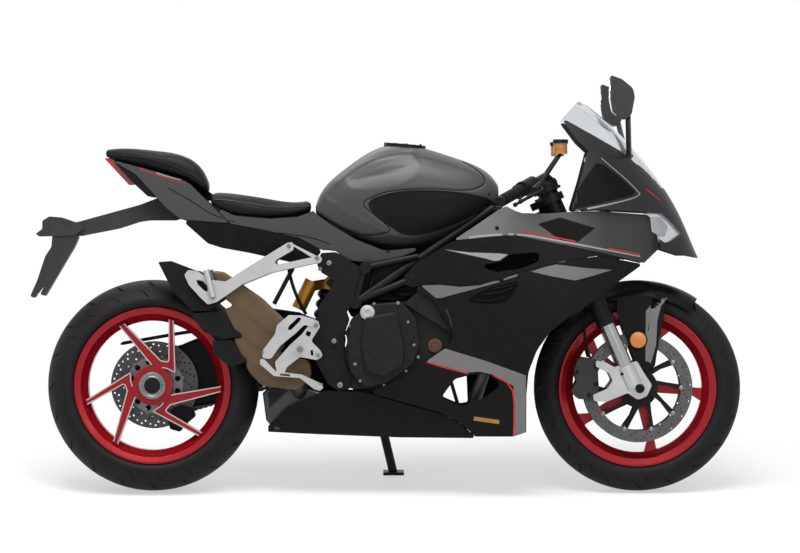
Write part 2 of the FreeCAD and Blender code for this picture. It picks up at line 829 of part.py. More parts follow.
brake_hose_radius = 4.0
brake_hose_bend = 30.0
brake_hose_top = (-28.0, -62.0)
brake_hose_drop = 70.0
brake_hose_px = [(584, 318, -86.0), (585, 342, -88.0), (590, 358, -88.0)]


def brake_hose():
    """A hose from under the lower yoke, down behind the fork leg to the top of its caliper."""
    ahead, across = brake_hose_top
    top = fork_spot(ahead, across, lower_yoke_low)
    below = fork_spot(ahead - 2, across - 2, lower_yoke_low - brake_hose_drop)
    return bent_tube([top, below] + [spot(*place) for place in brake_hose_px], brake_hose_radius, brake_hose_bend)


# Chassis

rail_low_px = (355.5, 303.0)
rail_bend_px = (492.0, 208.6)
rail_lug_px = (408.0, 281.0)
brace_node_px = (365.5, 267.5)
brace_top_px = (418.0, 256.5)
headstock_low = 482.0
headstock_high = 590.0
pivot_px = (334.0, 340.0)
pivot = spot(*pivot_px, 0)


def headstock():
    body = post(-yoke_offset, 0, headstock_low, headstock_high, headstock_radius)
    bore = post(-yoke_offset, 0, headstock_low, headstock_high, stem_radius + running_clearance)
    return raked(body), raked(bore)


def trellis_frame():
    """Upper and lower rails from the side plates to the headstock, with braces and cross tubes."""
    head, bore = headstock()
    low = spot(*rail_low_px, -rail_half)
    bend = spot(*rail_bend_px, -rail_bend_half)
    lug = spot(*rail_lug_px, -rail_half)
    brace = spot(*brace_node_px, -rail_half)
    brace_top = spot(*brace_top_px, -rail_half)
    head_high = fork_spot(-yoke_offset, -headstock_half / 2, (headstock_low + headstock_high) / 2)
    head_low = fork_spot(-yoke_offset, -headstock_half / 2, headstock_low + rail_radius)
    half = [
        frame_tube([low, bend, head_high], rail_radius),
        frame_tube([low, lug, head_low], rail_radius),
        rod(brace, brace_top, brace_radius),
        rod(brace, low, brace_radius),
        Part.makeCylinder(node_radius, node_length, low - V(0, node_length, 0), AXIS_Y),
        Part.makeCylinder(node_radius, node_length, brace - V(0, node_length, 0), AXIS_Y),
        Part.makeSphere(rail_radius, low),
    ]
    cross = [bar_along_y(p, cross_radius, -rail_half, rail_half) for p in (low, brace)]
    pieces = half + [mirrored(h) for h in half] + cross
    shape = head.fuse(pieces)
    return shape.cut(bore)


lower_cross_px = (341.0, 384.0)
side_plate_px = [(321, 253, 2), (335, 252, 3), (346, 258, 3), (361, 268, 3), (362, 290, 4), (352, 305, 4),
                 (346, 312, 3), (349, 320, 4), (344, 334, 8), (345, 362, 8), (353, 378, 4), (350, 389, 4),
                 (339, 391, 4), (328, 384, 4), (314, 358, 6), (308, 340, 5), (311, 322, 4), (318, 318, 3),
                 (319, 306, 4), (331, 288, 6), (334, 280, 3), (322, 273, 3), (317, 265, 3)]


def side_plates(frame):
    """The cast plates that carry the swingarm pivot."""
    plate = prism(side_plate_px, -side_plate_inner - side_plate_wall, -side_plate_inner)
    cover = bar_along_y(pivot, pivot_cap_radius, -side_plate_inner - side_plate_wall - pivot_cap_out, -side_plate_inner)
    plate = solid_of(plate.fuse(cover)).cut(frame)
    high = spot(*shock_axis_high_px, shock_y)
    bars = [bar_along_y(high, cross_radius, -side_plate_inner, side_plate_inner),
            bar_along_y(spot(*lower_cross_px, 0), cross_radius, -side_plate_inner, side_plate_inner)]
    return solid_of(plate.fuse([mirrored(plate)] + bars))


swingarm_stations_px = [(153.6, 357, 414), (190, 341, 408), (226, 327, 402), (252, 316, 392),
                        (272, 308, 382), (300, 312, 373), (322, 322, 362), (334, 328, 352)]


def rounded_section(x, low_y, high_y, low_z, high_z, corner):
    corners = [(V(x, low_y, low_z), corner), (V(x, high_y, low_z), corner), (V(x, high_y, high_z), corner),
               (V(x, low_y, high_z), corner)]
    return wire_of(corners)


def swingarm():
    """A single-sided arm: it holds the rear hub on the left and comes in to the pivot ahead of the tyre."""
    wires = []
    for i, (across, high, low) in enumerate(swingarm_stations_px):
        blend = min(max((i - swingarm_last_wide) / 2, 0), 1)
        inner = swingarm_inner + (swingarm_front_inner - swingarm_inner) * blend
        outer = swingarm_outer + (swingarm_front_outer - swingarm_outer) * blend
        x, high_z = side(across, high, swingarm_outer)
        _, low_z = side(across, low, swingarm_outer)
        wires.append(rounded_section(x, inner, outer, low_z, high_z, swingarm_corner))
    arm = Part.makeLoft(wires, True, True, False)
    hub = bar_along_y(rear_axle, swingarm_hub_radius, swingarm_hub_low, swingarm_hub_high)
    tube = bar_along_y(pivot, pivot_radius, -pivot_half, pivot_half)
    shock_low = spot(*shock_axis_low_px, shock_y)
    lug = prism(shock_lug_px, -shock_eye_half, shock_eye_half, 0)
    eye = bar_along_y(shock_low, shock_radius, -shock_eye_half, shock_eye_half)
    bore = bar_along_y(rear_axle, spindle_radius + running_clearance, 0, overrun)
    guard = prism(chain_guard_px, chain_guard_inner, chain_guard_outer)
    stay = prism(chain_guard_stay_px, chain_guard_inner, swingarm_outer)
    return solid_of(arm.fuse([hub, tube, lug, eye, guard, stay]).cut(bore))


swingarm_corner = 9.0
chain_guard_px = [(119, 344.5, 1), (123, 341.5, 1), (180, 331.5, 10), (250, 322, 1), (250, 325, 1),
                  (180, 335, 10), (123, 345, 1)]
chain_guard_stay_px = [(200, 332, 0), (206, 331, 0), (206, 345, 0), (200, 345, 0)]
chain_guard_inner = 138.0
chain_guard_outer = 172.0
rear_caliper_px = [(172, 409, 2), (182, 405, 3), (193, 408, 3), (196, 416, 3), (189, 421, 3), (180, 432, 3),
                   (170, 429, 3), (168, 420, 3)]
rear_caliper_inner = 46.0
rear_caliper_outer = 90.0
rear_bracket_inner = 86.0
rear_bracket_px = [(150, 392, 3), (172, 398, 4), (192, 406, 3), (196, 416, 3), (182, 428, 3), (168, 424, 3),
                   (146, 410, 4)]


def rear_caliper():
    body = prism(rear_caliper_px, rear_caliper_inner, rear_caliper_outer)
    low = rear_disc_middle - disc_wall / 2 - moving_gap
    high = rear_disc_middle + disc_wall / 2 + moving_gap
    slot = bar_along_y(rear_axle, rear_disc_radius + moving_gap, low, high)
    body = body.cut(slot)
    bracket = prism(rear_bracket_px, rear_bracket_inner, swingarm_hub_low)
    hole = bar_along_y(rear_axle, spindle_radius + moving_gap * 2, 0, swingarm_hub_low)
    return solid_of(body.fuse(bracket).cut(hole))


front_sprocket_px = (362.0, 345.0)
front_sprocket_teeth = 16


def front_sprocket():
    """The gearbox sprocket inside the chain's front bend, on its shaft out of the crankcase."""
    small = chain_pitch / (2 * math.sin(math.pi / front_sprocket_teeth))
    centre = spot(*front_sprocket_px, sprocket_middle)
    disc = bar_along_y(centre, small - roller_radius, sprocket_middle - sprocket_wall / 2, sprocket_middle + sprocket_wall / 2)
    shaft = bar_along_y(centre, cross_radius, crankcase_half, sprocket_middle + sprocket_wall)
    return solid_of(disc.fuse(shaft))


def chain():
    """One fixed loop: two rows of link plates astride the sprocket teeth, with rollers between them."""
    big = chain_pitch / (2 * math.sin(math.pi / sprocket_teeth))
    small = chain_pitch / (2 * math.sin(math.pi / front_sprocket_teeth))
    start = V(rear_axle.x, sprocket_middle, rear_axle.z)
    end = spot(*front_sprocket_px, sprocket_middle)
    end = V(end.x, sprocket_middle, end.z)
    along = end - start
    distance = along.Length
    tilt = math.atan2(along.z, along.x)
    open_angle = math.asin((big - small) / distance)

    def loop(offset):
        def at(centre, radius, angle):
            return centre + V(math.cos(angle), 0, math.sin(angle)) * (radius + offset)
        top = tilt + math.pi / 2 - open_angle
        bottom = tilt - math.pi / 2 + open_angle
        a, b = at(start, big, top), at(end, small, top)
        c, d = at(end, small, bottom), at(start, big, bottom)
        edges = [Part.makeLine(a, b), Part.Arc(b, at(end, small, tilt), c).toShape(), Part.makeLine(c, d),
                 Part.Arc(d, at(start, big, tilt + math.pi), a).toShape()]
        return Part.Wire(edges)

    def band(half_height, low_y, high_y):
        face = Part.Face(loop(half_height)).cut(Part.Face(loop(-half_height)))
        face.translate(V(0, low_y - sprocket_middle, 0))
        return face.extrude(V(0, high_y - low_y, 0))

    inner_gap = chain_plate_gap / 2
    plates = [band(chain_plate_height / 2, sprocket_middle + inner_gap, sprocket_middle + inner_gap + chain_plate_wall),
              band(chain_plate_height / 2, sprocket_middle - inner_gap - chain_plate_wall, sprocket_middle - inner_gap)]
    rollers = band(roller_radius, sprocket_middle - inner_gap - 1, sprocket_middle + inner_gap + 1)
    return solid_of(plates[0].fuse([plates[1], rollers]))


shock_lug_px = [(312, 344, 0), (326, 330, 0), (338, 345, 0), (322, 360, 0)]
shock_axis_low_px = (318.0, 352.0)
shock_axis_high_px = (331.0, 283.0)
shock_radius = 21.0
shock_eye_half = 14.7
shock_cap_length = 20.0
bridge_place_share = 0.2
wire_start_share = 0.3
wire_end_share = 0.6
shock_y = 0.0
piggyback_low_px = (298.5, 309.0)
piggyback_high_px = (312.0, 281.0)
piggyback_radius = 21.0
piggyback_y = -30.0
spring_radius = 30.0
spring_wire = 6.0
spring_turns = 6


def rear_shock():
    """Damper body, reservoir and coil spring, between the swingarm and the frame."""
    low = spot(*shock_axis_low_px, shock_y)
    high = spot(*shock_axis_high_px, shock_y)
    along = (high - low).normalize()
    body = rod(low, high, shock_radius)
    eye = bar_along_y(high, shock_radius, -shock_radius, shock_radius)
    cap = rod(high - along * shock_cap_length, high, spring_radius + spring_wire)
    p_low = spot(*piggyback_low_px, piggyback_y)
    p_high = spot(*piggyback_high_px, piggyback_y)
    tank = rod(p_low, p_high, piggyback_radius)
    bridge = rod(p_high - (p_high - p_low) * bridge_place_share, high, shock_eye_half)
    shape = body.fuse([eye, cap, tank, bridge])
    return solid_of(shape)


def shock_spring():
    """The coil spring as a stack of rings on the damper body."""
    low = spot(*shock_axis_low_px, shock_y)
    high = spot(*shock_axis_high_px, shock_y)
    along = (high - low).normalize()
    length = (high - low).Length - shock_cap_length - spring_wire
    inner = shock_radius + seat_gap
    corners = [(V(inner, 0, 0), 0)]
    pitch = length / spring_turns
    for i in range(spring_turns):
        corners.append((V(inner + spring_wire / 2, 0, pitch * i), spring_wire / 4))
        corners.append((V(spring_radius + spring_wire / 2, 0, pitch * (i + wire_start_share)), spring_wire / 2))
        corners.append((V(spring_radius + spring_wire / 2, 0, pitch * (i + wire_end_share)), spring_wire / 2))
    corners += [(V(inner + spring_wire / 2, 0, length), 0), (V(inner, 0, length), 0)]
    spring = Part.Face(wire_of(corners)).revolve(ORIGIN, AXIS_Z, TURN)
    spring.Placement = FreeCAD.Placement(low + along * spring_wire, FreeCAD.Rotation(AXIS_Z, along))
    return spring


# Engine and exhaust

crankcase_px = [(352, 318, 8), (372, 303, 8), (405, 301, 4), (452, 330, 6), (462, 352, 6), (450, 372, 5),
                (430, 384, 6), (352, 388, 6), (342, 380, 6), (345, 372, 4), (340, 345, 4)]
sump_px = [(352, 380, 0), (440, 376, 0), (432, 396, 6), (420, 404, 6), (366, 404, 6), (354, 396, 4)]
cylinders_px = [(404, 303, 2), (429, 282, 3), (481, 262, 4), (501, 289, 4), (464, 354, 4), (450, 332, 2)]
clutch_cover_px = [(352, 318, 10), (376, 304, 10), (402, 302, 10), (416, 318, 10), (420, 345, 10),
                   (413, 364, 8), (388, 382, 8), (366, 388, 8), (350, 372, 8), (347, 345, 10)]
clutch_step_px = [(365, 318, 4), (397, 313, 4), (404, 345, 10), (403, 366, 8), (385, 376, 6), (366, 372, 6),
                  (361, 345, 8)]
alternator_px = (411.0, 346.0)
alternator_radius = 50.0
alternator_step_radius = 35.0


def engine(frame):
    """Crankcase, inclined cylinder bank and head, with cooling ribs along the cylinders."""
    case = prism(crankcase_px, -crankcase_half, crankcase_half, 0)
    bank = prism(cylinders_px, -head_half, head_half, 0)
    block = case.fuse([bank, prism(sump_px, -sump_half, sump_half, 0)])
    case_notch = prism(side_plate_px, -overrun, -side_plate_inner).fuse(prism(side_plate_px, side_plate_inner, overrun))
    pivot_room = bar_along_y(pivot, pivot_radius + moving_gap, -overrun, overrun)
    return block.cut([case_notch, pivot_room]).cut(frame)


def engine_covers(frame):
    cover = prism(clutch_cover_px, -crankcase_half - clutch_cover_out, -crankcase_half)
    step = prism(clutch_step_px, -crankcase_half - clutch_cover_out - clutch_cover_step,
                 -crankcase_half - clutch_cover_out)
    right = cover.fuse(step)
    centre = spot(*alternator_px, crankcase_half)
    left = bar_along_y(centre, alternator_radius, crankcase_half, crankcase_half + clutch_cover_out)
    left = left.fuse(bar_along_y(centre, alternator_step_radius, crankcase_half + clutch_cover_out,
                                 crankcase_half + clutch_cover_out + clutch_cover_step))
    return Part.makeCompound([right.cut(frame), left.cut(frame)])


header_path_px = [(487, 296), (505, 312), (484, 372), (468, 419), (440, 421), (350, 421)]


def header_pipes():
    pipes = []
    for i in range(cylinders):
        y = (i - (cylinders - 1) / 2) * header_spacing
        squeeze = y * header_squeeze
        points = []
        for k, (across, down) in enumerate(header_path_px):
            points.append(spot(across, down, y if k < header_spread_points else squeeze))
        pipes.append(bent_tube(points, header_radius, header_bend))
    return pipes


collector_px = [(262.5, 393, 2), (268, 388, 3), (300, 386, 4), (336, 396, 5), (350, 406, 3), (350, 431, 4),
                (275, 431, 3), (266, 420, 4)]


def exhaust_box():
    """The collector box under the engine."""
    box = prism(collector_px, -collector_half, collector_half, -collector_half)
    edges = [e for e in box.Edges if e.BoundBox.YLength < 1]
    return box.makeFillet(collector_corner, edges)


link_low_px = (300.0, 396.0)
link_high_px = (298.0, 378.0)
link_low_across = 74.0
link_high_across = 120.0
link_radius = 24.0


def exhaust_link():
    """The pipe from the collector box up and out to the lowest muffler."""
    return rod(spot(*link_low_px, -link_low_across), spot(*link_high_px, -link_high_across), link_radius)


silencer_lobes_px = [
    [(209, 270, 3), (224, 272, 3), (262, 298, 10), (287, 322, 10), (286, 345, 8), (262, 326, 8), (226, 300, 4)],
    [(223, 309, 3), (245, 303, 10), (280, 330, 14), (287, 352, 8), (262, 350, 8), (234, 330, 5)],
    [(231.5, 337, 3), (256, 338, 10), (282, 352, 10), (290, 372, 8), (262, 372, 8), (240, 357, 5)],
    [(243, 362, 3), (262, 362, 8), (290, 358, 8), (310, 360, 8), (312, 376, 8), (298, 391, 8), (262, 386, 6), (250, 374, 4)]]
silencer_stagger = 4.0
silencer_tips_px = [
    [(158, 262, 1), (171, 261, 2), (210, 276, 2), (228, 298, 3), (209, 311, 1), (192, 311, 2), (172, 290, 3)],
    [(190, 314, 1), (210, 312, 2), (224, 311, 3), (242, 336, 1), (223, 339.5, 2), (204, 332, 3)],
    [(212, 341, 1), (232, 340, 3), (246, 362, 1), (231, 367, 2), (214, 355, 3)]]


def silencers():
    """A stack of four flattened mufflers, each set a little further out than the one above."""
    shape = None
    for i, points in enumerate(silencer_lobes_px):
        lobe = prism(points, -silencer_far + i * silencer_stagger, -silencer_near, -silencer_far)
        shape = lobe if shape is None else shape.fuse(lobe)
    return shape


def silencer_tips(silencer):
    tips = [prism(points, -silencer_tip_far, -silencer_tip_near, -silencer_far) for points in silencer_tips_px]
    merged = tips[0].fuse(tips[1:])
    return merged.cut(silencer)


# Body panels

fairing_stations_px = [345, 400, 450, 490, 530, 575, 600, 625, 650, 690]
fairing_along_shares = [0.80, 0.86, 0.93, 0.985, 1.0, 0.95, 0.87, 0.765, 0.61, 0.28]
fairing_levels_px = [185, 220, 250, 300, 350, 400, 450]
fairing_up_shares = [0.82, 0.92, 0.97, 1.0, 0.97, 0.87, 0.70]

lower_fairing_px = [(411, 288, 6), (430, 283.5, 8), (462, 285.5, 30), (500, 280, 30), (520, 272, 12),
                    (560, 262.5, 10), (600, 256, 6), (644, 264, 2), (620, 281, 20), (600, 297, 30),
                    (570, 316, 30), (550, 332, 20), (537, 350, 30), (528.5, 372, 30), (526.5, 395, 20),
                    (526.5, 432.5, 1), (513, 437, 1), (475.5, 437, 0.5), (460, 422.5, 10), (440, 413, 20),
                    (400, 401.5, 20), (366, 392, 6), (388, 385, 20), (410, 372, 20), (427, 361, 20),
                    (451, 342, 4), (453.5, 332, 5), (440, 311, 10), (432.5, 299, 3)]
lower_vent_px = [(441, 398, 4), (455, 379, 8), (478, 373, 14), (492, 376, 8), (502, 385, 6), (484, 398, 12),
                 (462, 407, 16)]
mid_fairing_px = [(404, 276, 6), (416, 263, 10), (452, 241.5, 2), (486, 237.5, 10), (512, 235, 10),
                  (560, 244.5, 20), (600, 252.5, 10), (644, 263.6, 1), (600, 255.5, 6), (560, 262.1, 10),
                  (520, 271.7, 12), (500, 279.6, 30), (462, 285.1, 30), (430, 283.1, 8), (412, 287.4, 4),
                  (405, 284, 4)]
mid_vent_px = [(478, 266, 2), (500, 262, 6), (512, 254, 5), (540, 252, 6), (538, 262, 6), (520, 269, 6),
               (496, 272, 6)]
upper_fairing_px = [(453, 240.5, 1), (472, 228, 10), (497, 211, 6), (506, 206, 3), (520, 213, 4),
                    (548, 213.5, 10), (575, 211.5, 4), (600, 211, 4), (650, 214.5, 6), (660, 240, 4),
                    (662, 247, 3), (645, 262.9, 1), (600, 252.2, 10), (560, 244.2, 20), (512, 234.7, 10),
                    (486, 237.2, 10)]
tail_stations_px = [105, 140, 175, 210, 250, 300, 340, 385, 430]
tail_along_shares = [0.52, 0.70, 0.88, 1.0, 1.03, 1.02, 1.06, 1.12, 1.14]
tail_levels_px = [150, 180, 210, 240, 265]
tail_up_shares = [0.90, 0.98, 1.0, 0.97, 0.88]
tail_half_width = 112.0
tail_panel_px = [(109, 159, 1), (150, 170, 20), (180, 179, 6), (190, 184, 3), (210, 204, 20), (229, 223, 1),
                 (181, 219.5, 4), (164, 206, 6), (150, 190, 8), (135, 174, 10)]
side_cover_px = [(212, 205, 2), (235, 216, 20), (270, 219, 20), (298, 217, 10), (312.5, 211.5, 2),
                 (330, 224, 10), (356, 239.5, 20), (385, 251, 20), (427, 246.5, 2), (400, 257, 20),
                 (372, 263, 10), (347, 260, 8), (334, 250, 4), (322, 250, 4), (300, 238, 20),
                 (260, 229, 20), (231, 223.7, 2)]
tail_lower_px = [(182, 220.5, 2), (229.5, 224, 4), (260, 229.8, 20), (300, 238.8, 20), (321, 250.5, 3),
                 (312, 262, 3), (292, 262.5, 4), (250, 253, 10), (222, 248, 6), (208, 243.5, 4)]
tail_core_px = [(112, 160.5, 1), (150, 170.5, 10), (185, 180, 6), (210, 203.8, 4), (233, 214.8, 10),
                (270, 218.2, 20), (296, 216.5, 8), (313, 211, 1), (330, 224, 8), (352, 238, 8),
                (345, 252, 4), (300, 247, 8), (289, 257, 4), (250, 249, 10), (222, 244, 6), (210, 239, 4),
                (180, 216, 6), (160, 198, 4), (147, 196, 2), (134, 184, 2), (126, 176, 2)]


def fairing_face():
    return skin(fairing_stations_px, fairing_levels_px, fairing_along_shares, fairing_up_shares, bodywork_half_width)


def tail_face():
    return skin(tail_stations_px, tail_levels_px, tail_along_shares, tail_up_shares, tail_half_width)


def lower_fairing(face):
    return panel(face, lower_fairing_px, less=[lower_vent_px])


def mid_fairing(face):
    return panel(face, mid_fairing_px, less=[lower_fairing_px, mid_vent_px])


nose_levels_px = [88, 105, 125, 150, 180, 205, 230, 262]
nose_tips_px = [566, 586, 610, 634, 658, 674, 686, 700]
nose_rears_px = [520, 545, 556, 566, 568, 560, 552, 545]
nose_width_shares = [0.56, 0.68, 0.76, 0.82, 0.88, 0.92, 0.93, 0.93]
nose_half_width = 202.0
nose_steps = 8
nose_power = 0.9


def nose_face():
    """The nose and screen surface: plan curves round the front, from the right side to the left."""
    grid = []
    for down, tip, rear, share in zip(nose_levels_px, nose_tips_px, nose_rears_px, nose_width_shares):
        row = []
        tip_x, z = side(tip, down)
        rear_x, _ = side(rear, down)
        for i in range(2 * nose_steps + 1):
            angle = math.pi / 2 * (i / nose_steps - 1)
            reach = max(math.cos(angle), 0) ** nose_power
            row.append(V(rear_x + (tip_x - rear_x) * reach, nose_half_width * share * math.sin(angle), z))
        grid.append(row)
    surface = Part.BSplineSurface()
    surface.interpolate(grid)
    return surface.toShape()


screen_px = [(580, 99.5, 1), (610, 110, 0), (700, 186, 0), (700, 189, 0), (663, 189, 2), (648, 174.5, 10),
             (622, 153, 10), (567, 122, 4), (561.5, 119.5, 2)]
cowl_px = [(563, 121, 2), (566.5, 120.3, 2), (622, 151.3, 10), (648, 172.8, 10), (662.3, 187.8, 1),
           (720, 188, 0), (720, 260, 0), (690, 237, 1), (681, 232.5, 2), (672, 222, 6), (662, 213.5, 4),
           (645, 212.3, 2), (600, 209.5, 3), (572, 210.5, 2), (600, 204.5, 10), (636, 195.5, 4),
           (639.5, 189, 4), (628, 175, 10), (596, 158, 8), (578, 141, 10)]
lens_px = [(647, 210, 2), (664, 211, 4), (675, 220, 6), (685, 231, 1), (672, 241, 3), (666, 243, 3),
           (652, 234, 8)]
beak_px = [(636, 236, 2), (660, 234, 3), (672, 236, 4), (684, 230, 4), (720, 245, 0), (720, 262, 0),
           (688, 255.5, 1), (680, 255.5, 2), (662, 249.5, 3)]
cockpit_px = [(588, 150, 2), (604, 155, 3), (630, 168, 8), (644, 190, 3), (640, 199, 3), (600, 207, 10),
              (571, 211, 3), (580, 181, 3)]
lamp_px = [(646, 217, 2), (660, 217, 3), (668, 226, 3), (665, 238, 3), (652, 232, 3)]
lamp_near = 44.0
lamp_far = 116.0
lamp_bar_px = (652.0, 224.0)
cluster_px = [(584, 160, 2), (598, 147, 2), (614, 166, 2), (600, 178, 2)]
cluster_half = 74.0
cluster_post_px = (603.0, 172.0)
tail_lamp_px = [(103.5, 157.5, 1), (113, 159, 1), (136, 185, 1), (129, 185, 1)]
tail_lamp_half = 42.0
nose_wall = 3.0
nose_seen_at = -150.0


def nose_piece(shell, points_px, less=()):
    """The part of the nose shell that lies within a side-view outline and outside its neighbours'."""
    cutter = prism(points_px, -overrun, overrun, nose_seen_at)
    others = [prism(other, -overrun, overrun, nose_seen_at) for other in less]
    others += [prism(other, -overrun, overrun, fairing_seen_at) for other in (upper_fairing_px, mid_fairing_px)]
    return shell.common(cutter.cut(others))


fairing_peg_radius = 7.0
bracket_tube_radius = 9.0
bracket_bar_radius = 11.7
bracket_knot_radius = 14.4
bracket_nose_px = (606.0, 214.0)
upper_stay_px = (510.0, 219.0)
upper_stay_start_px = (492.0, 208.6)
lower_pegs_px = [(457.0, 351.0), (480.0, 300.0)]
lower_peg_starts = [148.0, 168.0]
lug_peg_px = (411.0, 280.0)
lug_peg_start = 112.0
belly_peg_px = (312.0, 410.0)
belly_peg_start = 94.0
nose_side_px = (592.0, 226.0)


def fairing_pegs(face, belly, panels, nodes):
    """The pegs that carry the side panels, on the right."""
    lower, middle, upper = panels
    first, second = [peg_to(face, spot(across, down, -start), fairing_peg_radius).cut(lower)
                     for (across, down), start in zip(lower_pegs_px, lower_peg_starts)]
    lug = peg_to(face, spot(*lug_peg_px, -lug_peg_start), fairing_peg_radius).cut([middle, nodes["trellis_frame"]])
    stay_end = inner_side(face, spot(*upper_stay_px, -rail_half))
    stay = rod(spot(*upper_stay_start_px, -rail_bend_half), stay_end - AXIS_Y, fairing_peg_radius)
    stay = stay.cut([upper, nodes["trellis_frame"]])
    keel = peg_to(belly, spot(*belly_peg_px, -belly_peg_start), fairing_peg_radius)
    keel = keel.cut([nodes["belly_pan"], nodes["exhaust_box"]])
    engine_side = [peg.cut(nodes["engine"]) for peg in (first, second)]
    return [max(peg.Solids, key=lambda one: one.Volume) for peg in engine_side + [lug, stay, keel]]


def headlights():
    """The two lamp bodies behind the lenses."""
    return prism(lamp_px, -lamp_far, -lamp_near, -lamp_far)


def instrument_cluster():
    return prism(cluster_px, -cluster_half, cluster_half, 0)


def tail_lamp():
    return prism(tail_lamp_px, -tail_lamp_half, tail_lamp_half, -tail_lamp_half)


def fairing_bracket(face, shapes_in_the_way):
    """The nose bracket: a tube ahead from the headstock, a crossbar, and struts up to the mirrors' roots."""
    a = fork_spot(-yoke_offset, 0, (headstock_low + headstock_high) / 2)
    hub = spot(*bracket_nose_px, 0)
    root = spot(*mirror_base_px, -mirror_base_across)
    side_end = inner_side(face, spot(*nose_side_px, 0))
    lamp_bar = bar_along_y(spot(*lamp_bar_px, 0), bracket_tube_radius, -lamp_far, lamp_far)
    strut = rod(hub, root, bracket_tube_radius)
    wing = rod(hub, side_end, bracket_tube_radius)
    bar = rod(a, hub, bracket_bar_radius)
    nose_bar = rod(hub, spot(*lamp_bar_px, 0), bracket_tube_radius)
    post = rod(hub, spot(*cluster_post_px, 0), bracket_tube_radius)
    knot = Part.makeSphere(bracket_knot_radius, hub)
    shape = bar.fuse([strut, mirrored(strut), wing, mirrored(wing), nose_bar, lamp_bar, post, knot])
    shape = shape.cut(shapes_in_the_way)
    return max(shape.Solids, key=lambda one: one.Volume)


# Seats and tank

def section(x, z_low, z_high, half, shares):
    """A closed smooth section across the bike from (width share, height share) points of its right half."""
    right = [V(x, -half * w, z_low + (z_high - z_low) * h) for w, h in shares]
    left = [V(p.x, -p.y, p.z) for p in reversed(right) if abs(p.y) > 1]
    curve = Part.BSplineCurve()
    curve.interpolate(right + left, PeriodicFlag=True)
    return Part.Wire(curve.toShape())


tank_section_shares = [(0.0, 0.0), (0.55, 0.02), (0.86, 0.12), (0.98, 0.38), (0.96, 0.62), (0.80, 0.84),
                       (0.42, 0.975), (0.0, 1.0)]
tank_stations_px = [(316, 206, 224, 92), (326, 186, 230, 108), (345, 169, 237, 128), (370, 152, 245, 145),
                    (395, 144.5, 249, 152), (425, 148.5, 246, 150), (455, 158, 235, 140),
                    (480, 168, 222, 122), (498, 186, 207, 96)]


def fuel_tank(frame):
    wires = []
    for across, high, low, half in tank_stations_px:
        x, z_high = side(across, high)
        _, z_low = side(across, low)
        wires.append(section(x, z_low, z_high, half, tank_section_shares))
    return smooth_loft(wires).cut([frame, filler_room()])


airbox_px = [(350, 266, 2), (400, 262, 4), (450, 240, 10), (492, 214, 4), (500, 225, 4), (480, 262, 10),
             (430, 280, 10), (404, 300, 4), (372, 300, 4), (354, 300, 3)]
airbox_half = 78.0
airbox_gap = 2.0


def airbox(tank, frame, neighbours):
    """The intake box under the tank, a little clear of it and of the tubes, shaped by what stands round it."""
    lowered = tank.translated(V(0, 0, -airbox_gap))
    shifts = [AXIS_Y * airbox_gap, AXIS_Y * -airbox_gap, AXIS_Z * airbox_gap, AXIS_Z * -airbox_gap]
    tubes = [frame.translated(shift) for shift in shifts]
    box = prism(airbox_px, -airbox_half, airbox_half, 0).cut(neighbours + [lowered] + tubes)
    return max(box.Solids, key=lambda one: one.Volume)


cap_px = (405.0, 145.4)
cap_tilt_angle = 5.0
cap_radius = 45.0
cap_wall = 7.0
filler_ring_radius = 62.0
filler_ring_wall = 8.0
filler_bore_radius = 22.0
filler_length = 60.0
cap_gap = 0.6
cap_hinge_lift = 1.5
cap_barrel_radius = 3.5
cap_barrel_half = 14.0
cap_stand = 3.0


def filler_place():
    """The middle of the filler ring's top, and the direction out of it."""
    tilt = math.radians(cap_tilt_angle)
    return spot(*cap_px, 0) + V(0, 0, cap_stand), V(math.sin(tilt), 0, math.cos(tilt))


def filler_room():
    top, up = filler_place()
    return Part.makeCylinder(filler_ring_radius + seat_gap, filler_length + filler_ring_wall, top - up * (filler_length + cap_wall), up)


def filler_neck():
    """The ring round the cap with its recess, and the neck under it."""
    top, up = filler_place()
    bottom = top - up * (filler_length + cap_wall)
    ring = Part.makeCylinder(filler_ring_radius, filler_length + cap_wall, bottom, up)
    recess = Part.makeCylinder(cap_radius + cap_gap, cap_wall + cap_gap, top - up * (cap_wall + cap_gap), up)
    bore = Part.makeCylinder(filler_bore_radius, filler_length + cap_wall, bottom, up)
    reach = cap_barrel_half + cap_gap
    groove = bar_along_y(cap_hinge_point(), cap_barrel_radius + cap_gap, -reach, reach)
    return ring.cut([recess, bore, groove])


def fuel_cap():
    """The lid with its hinge barrel, closed in the ring."""
    top, up = filler_place()
    lid = Part.makeCylinder(cap_radius, cap_wall - cap_gap, top - up * (cap_wall - cap_gap), up)
    return solid_of(lid.fuse(bar_along_y(cap_hinge_point(), cap_barrel_radius, -cap_barrel_half, cap_barrel_half)))


def cap_hinge_point():
    top, up = filler_place()
    tilt = math.radians(cap_tilt_angle)
    ahead = V(math.cos(tilt), 0, -math.sin(tilt))
    return top + ahead * (cap_radius + cap_gap) + up * cap_hinge_lift


seat_section_shares = [(0.0, 0.0), (0.6, 0.0), (0.95, 0.12), (1.0, 0.55), (0.86, 0.88), (0.45, 0.99),
                       (0.0, 1.0)]
rider_seat_px = [(212, 194, 206, 108), (222, 194, 211, 116), (245, 196.5, 216, 118),
                 (270, 200.5, 217.5, 110), (292, 203.5, 216.5, 96), (303, 203, 214, 84),
                 (311, 201.5, 210.5, 76)]
pillion_seat_px = [(106, 151.5, 157.5, 52), (116, 150, 160.5, 62), (140, 150.3, 166, 78),
                   (165, 153, 172, 92), (188, 158, 180.5, 98), (200, 167, 188, 92), (209, 184, 191.5, 72)]


def seat(stations):
    wires = []
    for across, high, low, half in stations:
        x, z_high = side(across, high)
        _, z_low = side(across, low)
        wires.append(section(x, z_low, z_high, half, seat_section_shares))
    return smooth_loft(wires)


